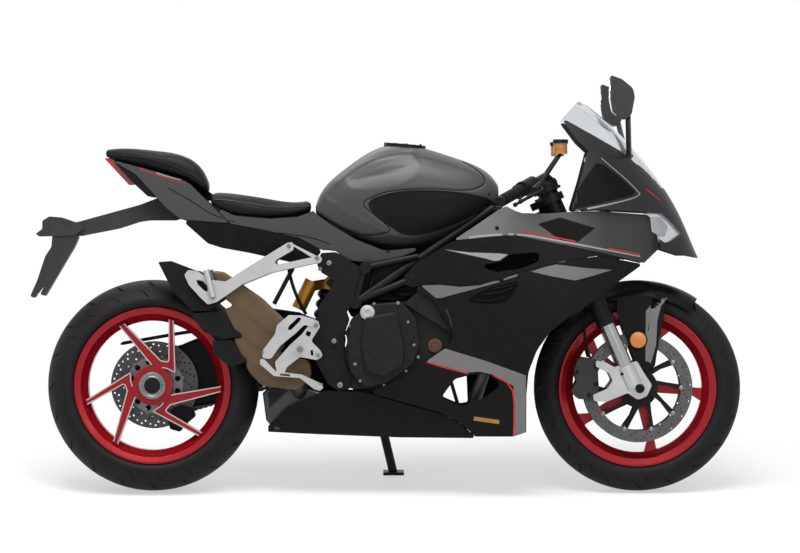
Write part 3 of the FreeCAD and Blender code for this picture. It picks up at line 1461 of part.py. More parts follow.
belly_top_px = [(268, 426, 2), (285, 409, 8), (302, 400, 8), (325, 390.5, 8), (362, 391.5, 8),
                (400, 402.3, 20), (440, 413.8, 20), (460, 423.3, 10), (474.8, 438, 1), (400, 437.5, 2),
                (310, 434, 2), (268, 432, 1)]
belly_levels_px = [385, 400, 415, 428, 440]
belly_stations_px = [255, 300, 350, 400, 440, 485]
belly_along_shares = [0.80, 0.92, 1.0, 1.06, 1.14, 1.28]
belly_up_shares = [1.04, 1.0, 0.96, 0.88, 0.74]
belly_half_width = 128.0
belly_floor_half = 87.8
belly_floor_px = [(268, 429, 1), (310, 431.5, 2), (400, 434, 2), (473, 434.5, 1), (474.5, 437, 0.5),
                  (400, 436.2, 2), (310, 433, 2), (270, 432, 1)]


def belly_face():
    return skin(belly_stations_px, belly_levels_px, belly_along_shares, belly_up_shares, belly_half_width)


def belly_pan(face):
    """The lower pan: two sides and the floor between them."""
    right = panel(face, belly_top_px, panel_wall, belly_seen_at)
    floor = prism(belly_floor_px, -belly_floor_half, belly_floor_half, belly_seen_at)
    notch = prism(belly_notch_px, 0, overrun, belly_half_width)
    return solid_of(right.fuse([mirrored(right), floor]).cut(notch))


belly_notch_px = [(362, 380, 0), (398, 380, 0), (394, 424, 6), (366, 424, 6)]
radiator_px = [(504, 372, 1), (531, 274, 1), (543, 278, 1), (516, 375, 1)]
radiator_half = 165.0


radiator_arm_px = [(494.0, 292.0), (528.0, 300.0)]
radiator_arm_across = 120.0
radiator_arm_radius = 8.0


def radiator():
    """The core with the two arms that hold it to the cylinder head."""
    core = prism(radiator_px, -radiator_half, radiator_half, 0)
    start, end = [spot(across, down, -radiator_arm_across) for across, down in radiator_arm_px]
    arm = rod(start, end, radiator_arm_radius)
    return solid_of(core.fuse([arm, mirrored(arm)]))


# Rider and passenger footrests

hanger_arm_px = [(287, 243, 2), (293, 242, 2), (293.5, 250, 2), (262, 268, 4), (318, 256, 2), (321, 262, 2),
                 (270, 273, 6), (243, 284, 6), (217, 302, 3), (208, 304.5, 2), (200, 297, 3), (189, 285, 3),
                 (184.5, 275, 3), (188, 270, 3), (197, 271, 3), (212, 280, 4), (226, 281.5, 6),
                 (245, 269, 6)]
hanger_window_px = [(196, 279.5, 1), (203, 281, 2), (207.5, 286, 2), (208, 292, 1), (204, 290.5, 2),
                    (198, 284.5, 2)]
hanger_eyes_px = ((290, 246.5), (318, 259.5))
hanger_eye_radius = 11.0
hanger_near = 158.0
hanger_wall = 12.0
hanger_strut_px = [(289, 243.5, 1), (292, 243.5, 1), (320, 257.5, 1), (318, 261, 1)]


def passenger_hangers():
    arm = prism(hanger_arm_px, -hanger_near - hanger_wall, -hanger_near, -hanger_near)
    strut = prism(hanger_strut_px, -hanger_near - hanger_wall, -hanger_near, -hanger_near)
    eyes = []
    for across, down in hanger_eyes_px:
        eyes.append(bar_along_y(spot(across, down, -hanger_near), hanger_eye_radius, -hanger_near - hanger_wall,
                                -side_plate_inner))
    return solid_of(arm.fuse([strut] + eyes).cut(prism(hanger_window_px, -overrun, overrun, -hanger_near)))


rearset_px = [(312, 321, 3), (318, 320, 3), (320, 327, 3), (311, 341, 4), (320, 350, 3), (323, 356, 3),
              (317, 360, 3), (300, 357, 4), (287, 367, 3), (284, 374, 3), (277, 373, 3), (275, 362, 3),
              (290, 345, 4), (302, 334, 4)]
rearset_wall = 9.0
heel_guard_px = [(289, 315, 3), (302, 315.5, 3), (316, 320, 3), (317, 327, 3), (304, 325, 3), (296, 333, 4),
                 (280, 346, 4), (271, 359, 4), (262, 358, 3), (263, 350, 4), (275, 334, 4), (277, 325, 4)]
heel_guard_wall = 5.0
brake_pedal_px = [(260, 359, 1.5), (264, 359, 1.5), (276, 371.5, 2), (302, 374.5, 3), (320, 383, 2),
                  (324, 387, 2), (320, 391, 2), (314, 389, 2), (300, 378, 3), (274, 376, 3), (260, 364, 2)]
rearset_across = 170.0
rearset_spacer_radius = 9.0
rearset_boss_radius = 22.0
rearset_windows_px = [[(307, 330.5, 1), (311.5, 332.5, 1), (309.5, 337, 1), (305.5, 335, 1)],
                      [(310.5, 350, 0.5), (313, 350, 0.5), (313.5, 355.5, 0.5), (311, 355.5, 0.5)]]
heel_guard_slot_px = [(287.5, 330, 1), (289, 326, 1), (298, 317.5, 1), (301.5, 317.5, 1), (300, 321, 1),
                      (291, 330, 1)]
pedal_slot_px = [(280, 373.2, 0.5), (290, 374.2, 0.5), (290, 376.6, 0.5), (280, 375.4, 0.5)]
rearset_eyes_px = [(316.0, 325.0), (318.0, 354.0)]
pedal_toe_px = (320, 387)
pedal_wall = 9.0
pedal_toe_radius = 7.0
pedal_toe_length = 34.0
peg_length = 78.0
peg_radius = 10.0
peg_px = (299.5, 349.0)
folded_peg_px = ((213, 297), (206, 270))
folded_peg_radius = 9.0


def rearsets():
    """The footrest plates, each on two spacers that stand out from the side plates."""
    outer = -rearset_across
    plate = prism(rearset_px, outer - rearset_wall, outer, outer)
    spacers = [bar_along_y(spot(across, down, outer), rearset_spacer_radius, outer, -side_plate_inner - side_plate_wall)
               for across, down in rearset_eyes_px]
    centre = bar_along_y(spot(*peg_px, outer), rearset_boss_radius, outer - rearset_wall, outer)
    windows = [prism(window, -overrun, overrun, outer) for window in rearset_windows_px]
    return solid_of(plate.fuse(spacers + [centre]).cut(windows))


def heel_guards():
    outer = -rearset_across - rearset_wall
    guard = prism(heel_guard_px, outer - heel_guard_wall, outer, outer)
    return guard.cut(prism(heel_guard_slot_px, -overrun, overrun, outer))


def foot_pegs():
    """The rider's pegs straight out, the passenger's folded up against their hangers."""
    outer = -rearset_across - rearset_wall
    rider = bar_along_y(spot(*peg_px, outer), peg_radius, outer - peg_length, outer)
    side_y = -hanger_near - hanger_wall - folded_peg_radius
    low, high = [spot(*place, side_y) for place in folded_peg_px]
    return Part.makeCompound([rider, rod(low, high, folded_peg_radius)])


def pedals():
    outer = -rearset_across - rearset_wall
    arm = prism(brake_pedal_px, outer - pedal_wall, outer, outer).cut(prism(pedal_slot_px, -overrun, overrun, outer))
    toe = spot(*pedal_toe_px, outer)
    return arm.fuse(bar_along_y(toe, pedal_toe_radius, outer - pedal_toe_length, outer))


# Number plate bracket, mirrors

plate_arm_px = [(166, 195, 1), (184, 203, 2), (190, 216, 1), (176, 220.5, 1), (150, 220.5, 3),
                (140, 222, 4), (120, 228.5, 4), (82, 236, 2), (72, 236, 2), (65, 225, 3), (80, 221.5, 3),
                (140, 205, 6)]
plate_hood_px = [(36.5, 234, 1), (43, 229, 2), (43, 221, 3), (50, 216.5, 4), (62, 217.5, 6), (84, 225, 3),
                 (85.5, 228, 2), (76, 235.5, 3), (40, 236.5, 1)]
plate_bracket_px = [(53, 235.5, 1), (80, 235.5, 2), (75, 247, 3), (66, 262, 4), (46, 296, 1), (41, 294, 1),
                    (47, 281, 3), (35, 298, 1), (31, 296, 1), (38, 280, 4), (46, 256, 4), (52, 247, 3)]
plate_bracket_half = 34.0
plate_low_px = (35, 290)
plate_high_px = (48, 252)


def plate_arm():
    arm = prism(plate_arm_px, -plate_arm_half, plate_arm_half, 0)
    hood = prism(plate_hood_px, -plate_hood_half, plate_hood_half, 0)
    bracket = prism(plate_bracket_px, -plate_bracket_half, plate_bracket_half, 0)
    middle, out = plate_mount()
    holes = []
    for y in (-plate_bolt_spacing / 2, plate_bolt_spacing / 2):
        start = middle + V(0, y, 0) + out * overrun
        holes.append(Part.makeCylinder(plate_bolt_radius, overrun * 2, start, out * -1))
    return solid_of(arm.fuse([hood, bracket.cut(holes)]))


def plate_mount():
    """The middle of the number plate's bolt holes and the direction out of its face."""
    low = spot(*plate_low_px, 0)
    high = spot(*plate_high_px, 0)
    along = (high - low).normalize()
    return (low + high) * 0.5, AXIS_Y.cross(along) * -1


mirror_head_px = [(611, 75, 1), (622, 79, 10), (633, 88, 8), (635, 97, 10), (631.5, 115, 6),
                  (625, 119.5, 4), (613, 112, 6), (610.5, 98, 6)]
mirror_near = 318.0
mirror_far = 418.0
mirror_stalk_px = (628, 117)
mirror_stalk_across = 345.0
mirror_base_px = (629.0, 157.0)
mirror_base_across = 80.0
mirror_stalk_radius = 8.0
mirror_foot_radius = 12.8


def mirrors():
    head = prism(mirror_head_px, -mirror_far, -mirror_near, -mirror_far)
    top = spot(*mirror_stalk_px, -mirror_stalk_across)
    foot = spot(*mirror_base_px, -mirror_base_across)
    stalk = rod(foot, top, mirror_stalk_radius)
    return head.fuse([stalk, Part.makeSphere(mirror_foot_radius, foot)])


# Side stand

def stand_frame():
    """The stand's plane: down the leg, forward, and the fold axis square to both."""
    splay = math.radians(stand_splay_angle)
    forward = math.radians(stand_forward_angle)
    flat_down = V(0, math.sin(splay), -math.cos(splay))
    down = flat_down * math.cos(forward) + AXIS_X * math.sin(forward)
    axis = V(0, math.cos(splay), math.sin(splay))
    return down, axis


def stand_pivot():
    return spot(*stand_pivot_px, stand_pivot_across)


def side_stand():
    down, axis = stand_frame()
    top = stand_pivot()
    foot = top + down * stand_leg_length
    hub = Part.makeCylinder(stand_hub_radius, stand_hub_wall, top - axis * (stand_hub_wall / 2), axis)
    leg = rod(top + down * (stand_hub_radius / 2), foot, stand_leg_radius)
    pad = Part.makeBox(stand_foot_length, stand_foot_width, stand_foot_wall,
                       V(-stand_foot_length / 2, -stand_foot_width / 2, 0))
    pad.rotate(ORIGIN, AXIS_X, lean_angle)
    pad.translate(V(foot.x, foot.y, foot.y * math.tan(math.radians(lean_angle)) + ground_shift()))
    room = Part.makeBox(overrun, overrun, overrun, V(-overrun / 2, -overrun / 2, -overrun))
    room.rotate(ORIGIN, AXIS_X, lean_angle)
    room.translate(V(foot.x, foot.y, foot.y * math.tan(math.radians(lean_angle)) + ground_shift()))
    shape = hub.fuse([leg, pad]).cut(room)
    hole = Part.makeCylinder(stand_pin_radius + running_clearance, overrun, top - axis * (overrun / 2), axis)
    return solid_of(shape.cut(hole))


def ground_shift():
    """How far the leaned ground line passes below the bike's origin: the tyres roll on their round crowns."""
    edge = rear_tyre_width / 2 * tread_edge_share
    crown = (edge * edge + rear_crown_drop * rear_crown_drop) / (2 * rear_crown_drop)
    return -crown * (1 / math.cos(math.radians(lean_angle)) - 1)


stand_root_px = (380.0, 386.0)
stand_root_across = 98.0
stand_arm_radius = 12.0


def stand_bracket():
    down, axis = stand_frame()
    top = stand_pivot()
    pin_start = top - axis * (stand_hub_wall / 2 + stand_pin_in)
    pin = Part.makeCylinder(stand_pin_radius, stand_pin_length, pin_start, axis)
    lug_start = top - axis * (stand_hub_wall / 2 + stand_bracket_wall + moving_gap)
    lug = Part.makeCylinder(stand_hub_radius, stand_bracket_wall, lug_start, axis)
    inner = spot(*stand_root_px, stand_root_across)
    arm = rod(lug_start, inner, stand_arm_radius)
    return solid_of(pin.fuse([lug, arm]))


# Placing and saving

def leaned(shape):
    moved = shape.copy()
    moved.rotate(ORIGIN, AXIS_X, -lean_angle)
    return moved


def row_offset(nodes):
    """Moves the origin to the middle of the bottom of the leaned bike's box."""
    box = None
    for shape in nodes.values():
        one = shape.optimalBoundingBox(True, False)
        if box is None:
            box = one
        else:
            box.add(one)
    return V(-(box.XMin + box.XMax) / 2, -(box.YMin + box.YMax) / 2, -box.ZMin)


# Like pieces that are kept together in one node
like_pieces = {
    "nose_panels": ["nose_cowl", "nose_beak", "cockpit_panels"],
    "exhaust_box": ["exhaust_box", "exhaust_link"],
    "tail_panels": ["tail_panels", "side_covers"],
    "rearsets": ["rearsets", "heel_guards"],
    "foot_pegs": ["foot_pegs", "pedals"],
    "chain": ["chain", "front_sprocket"],
    "bar_controls": ["bar_controls", "levers"],
    "frame_side_plates": ["frame_side_plates", "stand_bracket"],
    "fork_feet": ["fork_feet", "front_axle"],
    "lower_fairings": ["lower_fairings", "mid_fairings"],
}


def gathered(nodes):
    """The same pieces with each group of like ones as one node."""
    taken = set(name for names in like_pieces.values() for name in names)
    kept = {name: shape for name, shape in nodes.items() if name not in taken}
    for name, names in like_pieces.items():
        kept[name] = Part.makeCompound([solid for one in names for solid in nodes[one].Solids])
    return kept


def build_chassis(nodes):
    frame = solid_of(trellis_frame())
    plates = side_plates(frame)
    block = engine([frame, plates])
    nodes["trellis_frame"] = frame
    nodes["frame_side_plates"] = plates
    nodes["engine"] = block
    nodes["engine_covers"] = engine_covers([frame, plates])
    nodes["front_sprocket"] = front_sprocket()
    nodes["chain"] = chain()
    nodes["radiator"] = radiator().cut(block)
    box = exhaust_box().cut(block)
    nodes["exhaust_box"] = box
    muffler = silencers()
    nodes["silencers"] = muffler
    nodes["silencer_tips"] = silencer_tips(muffler)
    headers = header_pipes()
    nodes["header_pipes"] = headers[0].fuse(headers[1:]).cut([box, block, nodes["radiator"]])
    nodes["exhaust_link"] = exhaust_link().cut([box, muffler])
    arm = swingarm()
    nodes["swingarm"] = arm
    nodes["rear_caliper"] = rear_caliper().cut(arm)
    shock = rear_shock().cut([arm, plates])
    nodes["rear_shock"] = shock
    nodes["shock_spring"] = shock_spring().cut([shock, arm])
    nodes["passenger_hangers"] = passenger_hangers()
    nodes["rearsets"] = both(rearsets())
    nodes["heel_guards"] = both(heel_guards())
    nodes["foot_pegs"] = both(foot_pegs())
    nodes["pedals"] = both(pedals())
    nodes["stand_bracket"] = stand_bracket().cut([block, plates])


def build_tail(nodes):
    frame = nodes["trellis_frame"]
    plates = nodes["frame_side_plates"]
    tail = tail_face()
    core = filled(tail, tail_core_px, tail_core_seen_at).cut([frame, plates])
    nodes["tail_core"] = core
    upper = panel(tail, tail_panel_px, panel_wall, tail_seen_at)
    cover = panel(tail, side_cover_px, panel_wall, tail_seen_at, [tail_panel_px])
    lower = panel(tail, tail_lower_px, panel_wall, tail_seen_at, [tail_panel_px, side_cover_px])
    nodes["tail_panels"] = both(upper)
    nodes["side_covers"] = both(cover.cut([frame, plates]))
    nodes["tail_lower_panels"] = both(lower.cut([frame, plates]))
    room = prism(side_cover_px, -overrun, overrun, tail_seen_at)
    tank = fuel_tank(frame).cut([core, room])
    nodes["fuel_tank"] = tank
    in_the_way = [nodes[name] for name in ("engine", "engine_covers", "rear_shock", "shock_spring", "radiator")]
    nodes["airbox"] = airbox(tank, frame, in_the_way + [core, plates])
    nodes["fuel_filler"] = filler_neck()
    nodes["fuel_cap"] = fuel_cap()
    nodes["tail_lamp"] = tail_lamp().cut(core)
    rider = seat(rider_seat_px).cut([core, tank, upper, mirrored(upper), cover, mirrored(cover)])
    nodes["rider_seat"] = rider
    nodes["passenger_seat"] = seat(pillion_seat_px).cut([core, rider, upper, mirrored(upper), nodes["tail_lamp"]])
    nodes["plate_arm"] = plate_arm().cut([core, nodes["tail_lower_panels"], nodes["tail_panels"]])
    hanger = nodes["passenger_hangers"].cut([core, lower, cover, plates])
    nodes["passenger_hangers"] = both(max(hanger.Solids, key=lambda one: one.Volume))


def build_bodywork(nodes):
    face = fairing_face()
    lower = lower_fairing(face)
    middle = mid_fairing(face)
    upper = panel(face, upper_fairing_px, less=[lower_fairing_px, mid_fairing_px])
    nodes["lower_fairings"] = both(lower)
    nodes["mid_fairings"] = both(middle)
    nodes["upper_fairings"] = both(upper)
    nose = nose_face()
    shell = nose.makeOffsetShape(-nose_wall, surface_tolerance, False, False, 0, 0, True)
    cowl = nose_piece(shell, cowl_px)
    lens = nose_piece(shell, lens_px, [cowl_px])
    beak = nose_piece(shell, beak_px, [cowl_px, lens_px])
    screen = nose_piece(shell, screen_px, [cowl_px])
    nodes["nose_cowl"] = cowl
    nodes["headlight_lens"] = lens
    nodes["nose_beak"] = beak
    nodes["windscreen"] = screen
    belly = belly_face()
    nodes["belly_pan"] = solid_of(belly_pan(belly).cut(nodes["exhaust_box"]))
    mirror = mirrors().cut(shell)
    mirror = max(mirror.Solids, key=lambda one: one.Volume)
    nodes["mirrors"] = both(mirror)
    pegs = fairing_pegs(face, belly, [lower, middle, upper], nodes)
    nodes["fairing_pegs"] = both(Part.makeCompound(pegs))
    nodes["cockpit_panels"] = nose_piece(shell, cockpit_px, [cowl_px, screen_px])
    lamp = headlights().cut([lens, upper])
    lamp = max(lamp.Solids, key=lambda one: one.Volume)
    nodes["headlights"] = both(lamp)
    nodes["instrument_cluster"] = instrument_cluster()
    in_the_way = [nodes["trellis_frame"], headstock()[1], shell, upper, mirrored(upper), nodes["headlights"],
                  nodes["instrument_cluster"]]
    nodes["fairing_bracket"] = fairing_bracket(face, in_the_way)


def build_steering(nodes):
    nodes["fork_outer_tubes"] = fork_outer_tubes()
    nodes["fork_stanchions"] = fork_stanchions()
    feet = fork_feet()
    nodes["fork_feet"] = feet
    nodes["front_axle"] = front_axle_bar()
    nodes["yokes"] = yokes()
    bars = handlebars()
    nodes["handlebars"] = bars
    nodes["grips"] = grips()
    controls = bar_controls().cut(bars)
    nodes["bar_controls"] = controls
    nodes["reservoirs"] = reservoirs()
    lever = levers().cut(controls)
    nodes["levers"] = both(max(lever.Solids, key=lambda one: one.Volume))
    nodes["front_fender"] = front_fender().cut([feet, nodes["fork_outer_tubes"], nodes["fork_stanchions"]])
    brakes = front_calipers()
    nodes["front_calipers"] = brakes
    nodes["brake_hoses"] = both(brake_hose().cut([brakes, nodes["yokes"]]))


def build_wheels(nodes):
    nodes["front_tyre"] = tyre(front_axle, front_tyre_radius, front_tyre_width, front_crown_drop, front_bead_half,
                               front_flange_radius)
    nodes["front_rim"] = front_rim()
    nodes["front_discs"] = both(front_disc())
    nodes["rear_tyre"] = tyre(rear_axle, rear_tyre_radius, rear_tyre_width, rear_crown_drop, rear_bead_half, flange_radius)
    nodes["rear_rim"] = rear_rim()
    nodes["rear_spindle"] = rear_spindle()
    nodes["rear_disc"] = rear_disc()
    nodes["rear_sprocket"] = rear_sprocket()


def build():
    nodes = {}
    build_chassis(nodes)
    build_tail(nodes)
    build_bodywork(nodes)
    nodes["side_stand"] = side_stand()
    build_steering(nodes)
    build_wheels(nodes)
    return gathered(nodes)


def main():
    os.makedirs("parts", exist_ok=True)
    nodes = {name: leaned(shape) for name, shape in build().items()}
    offset = row_offset(nodes)
    for name, shape in nodes.items():
        shape.translate(offset)
        solids = shape.Solids
        whole = solids[0] if len(solids) == 1 else Part.makeCompound(solids)
        whole.exportStep(os.path.join("parts", name + ".step"))
        print(name, len(solids), round(whole.Volume / cubic_centimetre), whole.isValid())
    print("origin moved by", offset)
    return nodes, offset


placed_nodes, placed_offset = main()
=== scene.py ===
import json
import math
import bmesh
import bpy
import numpy as np
from mathutils import Matrix, Vector
from mathutils.bvhtree import BVHTree


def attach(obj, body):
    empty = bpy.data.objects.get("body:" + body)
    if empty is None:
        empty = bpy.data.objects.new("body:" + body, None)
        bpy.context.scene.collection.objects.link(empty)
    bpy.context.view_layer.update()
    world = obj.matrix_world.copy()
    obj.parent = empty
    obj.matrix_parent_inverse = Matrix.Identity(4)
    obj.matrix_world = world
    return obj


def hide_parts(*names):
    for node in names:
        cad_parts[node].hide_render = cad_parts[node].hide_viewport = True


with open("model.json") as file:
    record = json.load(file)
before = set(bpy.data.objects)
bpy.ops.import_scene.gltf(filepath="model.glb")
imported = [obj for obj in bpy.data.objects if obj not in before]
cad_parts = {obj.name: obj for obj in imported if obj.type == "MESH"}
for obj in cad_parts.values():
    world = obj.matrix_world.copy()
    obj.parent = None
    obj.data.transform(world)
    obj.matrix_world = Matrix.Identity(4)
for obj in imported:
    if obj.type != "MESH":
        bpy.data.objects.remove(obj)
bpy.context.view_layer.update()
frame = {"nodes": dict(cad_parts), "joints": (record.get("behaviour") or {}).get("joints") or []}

nodes = frame["nodes"]
joints = {joint["name"]: joint for joint in frame["joints"]}

# The photograph's frame: one scale in the bike's middle plane, seen by a camera 16 m away
photo = {"metresPerPixel": 0.0029464, "middleAcross": 395.25, "groundDown": 490.5, "centreAcross": 400.0,
         "centreDown": 276.5, "cameraDistance": 16.0, "sensor": 36.0, "imageWidth": 800,
         "rearRadius": 0.3105, "frontRadius": 0.304, "halfWheelbase": 0.712}
scale = photo["metresPerPixel"]
cameraAway = photo["cameraDistance"]

rearAxle = Vector(joints["rear_wheel_spin"]["pos_m"])
frontAxle = Vector(joints["front_wheel_spin"]["pos_m"])
leftward = Vector(joints["rear_wheel_spin"]["axis"]).normalized()
forward = Vector((1, 0, 0))
upward = forward.cross(leftward)
ground = (rearAxle + frontAxle) / 2 - upward * (photo["rearRadius"] + photo["frontRadius"]) / 2
bikeTurn = Matrix((forward, leftward, upward)).transposed()


def fromBike(x, y, z):
    # metres forward, left and up in the upright bike's own frame
    return ground + bikeTurn @ Vector((x, y, z))


def flatSpot(across, down, side=0.0):
    # forward and up, in metres, of a photo pixel at a distance to the bike's left
    shrink = 1 + side / cameraAway
    x = photo["centreAcross"] - photo["middleAcross"] + (across - photo["centreAcross"]) * shrink
    z = photo["groundDown"] - photo["centreDown"] - (down - photo["centreDown"]) * shrink
    return x * scale, z * scale


# Everything is drawn upright in the bike's own frame, in metres, and laid over with it at the end
toBikeMatrix = bikeTurn.transposed().to_4x4() @ Matrix.Translation(-ground)
fromBikeMatrix = Matrix.Translation(ground) @ bikeTurn.to_4x4()
bikeRear = Vector((-photo["halfWheelbase"], 0, photo["rearRadius"]))
bikeFront = Vector((photo["halfWheelbase"], 0, photo["frontRadius"]))
eye = Vector((flatSpot(photo["centreAcross"], 0)[0], -cameraAway, flatSpot(0, photo["centreDown"])[1]))


def px(across, down, side=0.0):
    x, z = flatSpot(across, down, side)
    return Vector((x, side, z))


def linked(name, data):
    made = bpy.data.objects.new(name, data)
    bpy.context.scene.collection.objects.link(made)
    return made


def addNode(tree, kind, inputs={}, **settings):
    node = tree.nodes.new("ShaderNode" + kind)
    for name, value in settings.items():
        setattr(node, name, value)
    for name, value in inputs.items():
        node.inputs[name].default_value = value
    return node


def wire(tree, *pairs):
    for start, end in pairs:
        tree.links.new(start, end)


# Camera, lamps, floor: lamp rows are name, place from the bike's middle, power, size and size up
studio = {"middleUp": 0.5, "worldLight": 0.5, "clipEnd": 200, "floorSize": 60.0, "floorColour": (0.86, 0.86, 0.86, 1),
          "floorGlow": 0.5, "pool": (1.7, 1.3, 1.0), "poolPlace": (0.0, -0.15, 0.0), "poolFrom": 0.45, "poolTo": 1.25,
          "lamps": [("keyLamp", (-0.4, -1.2, 3.4), 190.0, 3.2, 1.8), ("fillLamp", (1.5, -4.5, 2.2), 30.0, 2.5, 1.6),
                    ("backLamp", (-0.8, 3.5, 2.6), 30.0, 2.5, 1.6)]}


def makeCamera():
    data = bpy.data.cameras.new("camera")
    data.sensor_width = photo["sensor"]
    data.lens = photo["sensor"] * cameraAway / (photo["imageWidth"] * scale)
    data.clip_end = studio["clipEnd"]
    camera = linked("camera", data)
    x, z = flatSpot(photo["centreAcross"], photo["centreDown"])
    turn = Matrix((forward, upward, -leftward)).transposed()
    camera.matrix_world = Matrix.Translation(fromBike(x, 0, z) - leftward * cameraAway) @ turn.to_4x4()
    bpy.context.scene.camera = camera


def makeLamp(name, offset, power, size, sizeUp):
    data = bpy.data.lights.new(name, "AREA")
    data.shape = "RECTANGLE"
    data.energy = power
    data.size = size
    data.size_y = sizeUp
    lamp = linked(name, data)
    lamp.location = fromBike(0, 0, studio["middleUp"]) + Vector(offset)
    lamp.rotation_euler = (-Vector(offset)).to_track_quat("-Z", "Y").to_euler()


def seenPlain(tree):
    # 1 where the camera sees something directly, in a gloss or through glass, and 0 for its light
    rays = addNode(tree, "LightPath")
    first = addNode(tree, "Math", operation="ADD")
    second = addNode(tree, "Math", operation="ADD", use_clamp=True)
    wire(tree, (rays.outputs["Is Camera Ray"], first.inputs[0]), (rays.outputs["Is Glossy Ray"], first.inputs[1]),
         (first.outputs[0], second.inputs[0]), (rays.outputs["Is Transmission Ray"], second.inputs[1]))
    return second.outputs[0]


def mixed(tree, share, lit, seen, outKind):
    mix = addNode(tree, "MixShader")
    out = addNode(tree, outKind)
    wire(tree, (share, mix.inputs[0]), (lit.outputs[0], mix.inputs[1]), (seen.outputs[0], mix.inputs[2]),
         (mix.outputs[0], out.inputs[0]))


def makeWorld():
    world = bpy.data.worlds.new("world")
    bpy.context.scene.world = world
    world.use_nodes = True
    tree = world.node_tree
    tree.nodes.clear()
    white = {"Color": (1, 1, 1, 1)}
    seen = addNode(tree, "Background", white)
    lit = addNode(tree, "Background", {**white, "Strength": studio["worldLight"]})
    mixed(tree, seenPlain(tree), lit, seen, "OutputWorld")


def makeFloor():
    bm = bmesh.new()
    bmesh.ops.create_grid(bm, x_segments=2, y_segments=2, size=studio["floorSize"] / 2)
    mesh = bpy.data.meshes.new("floor")
    bm.to_mesh(mesh)
    bm.free()
    paint = bpy.data.materials.new("floor")
    paint.use_nodes = True
    tree = paint.node_tree
    tree.nodes.clear()
    lit = addNode(tree, "BsdfDiffuse", {"Color": studio["floorColour"]})
    glow = addNode(tree, "Emission")
    place = addNode(tree, "TexCoord")
    squash = addNode(tree, "Mapping", vector_type="TEXTURE")
    squash.inputs["Scale"].default_value = studio["pool"]
    squash.inputs["Location"].default_value = studio["poolPlace"]
    far = addNode(tree, "VectorMath", operation="LENGTH")
    ramp = addNode(tree, "MapRange", {"From Min": studio["poolFrom"], "From Max": studio["poolTo"],
                                      "To Min": studio["floorGlow"]}, interpolation_type="SMOOTHSTEP")
    share = addNode(tree, "Math", operation="MULTIPLY")
    wire(tree, (place.outputs["Object"], squash.inputs["Vector"]), (squash.outputs["Vector"], far.inputs[0]),
         (far.outputs["Value"], ramp.inputs["Value"]), (seenPlain(tree), share.inputs[0]),
         (ramp.outputs["Result"], share.inputs[1]))
    mixed(tree, share.outputs[0], lit, glow, "OutputMaterial")
    mesh.materials.append(paint)
    floor = linked("floor", mesh)


makeCamera()
makeWorld()
makeFloor()
for lampFacts in studio["lamps"]:
    makeLamp(*lampFacts)
print("stage: camera, lamps and floor")

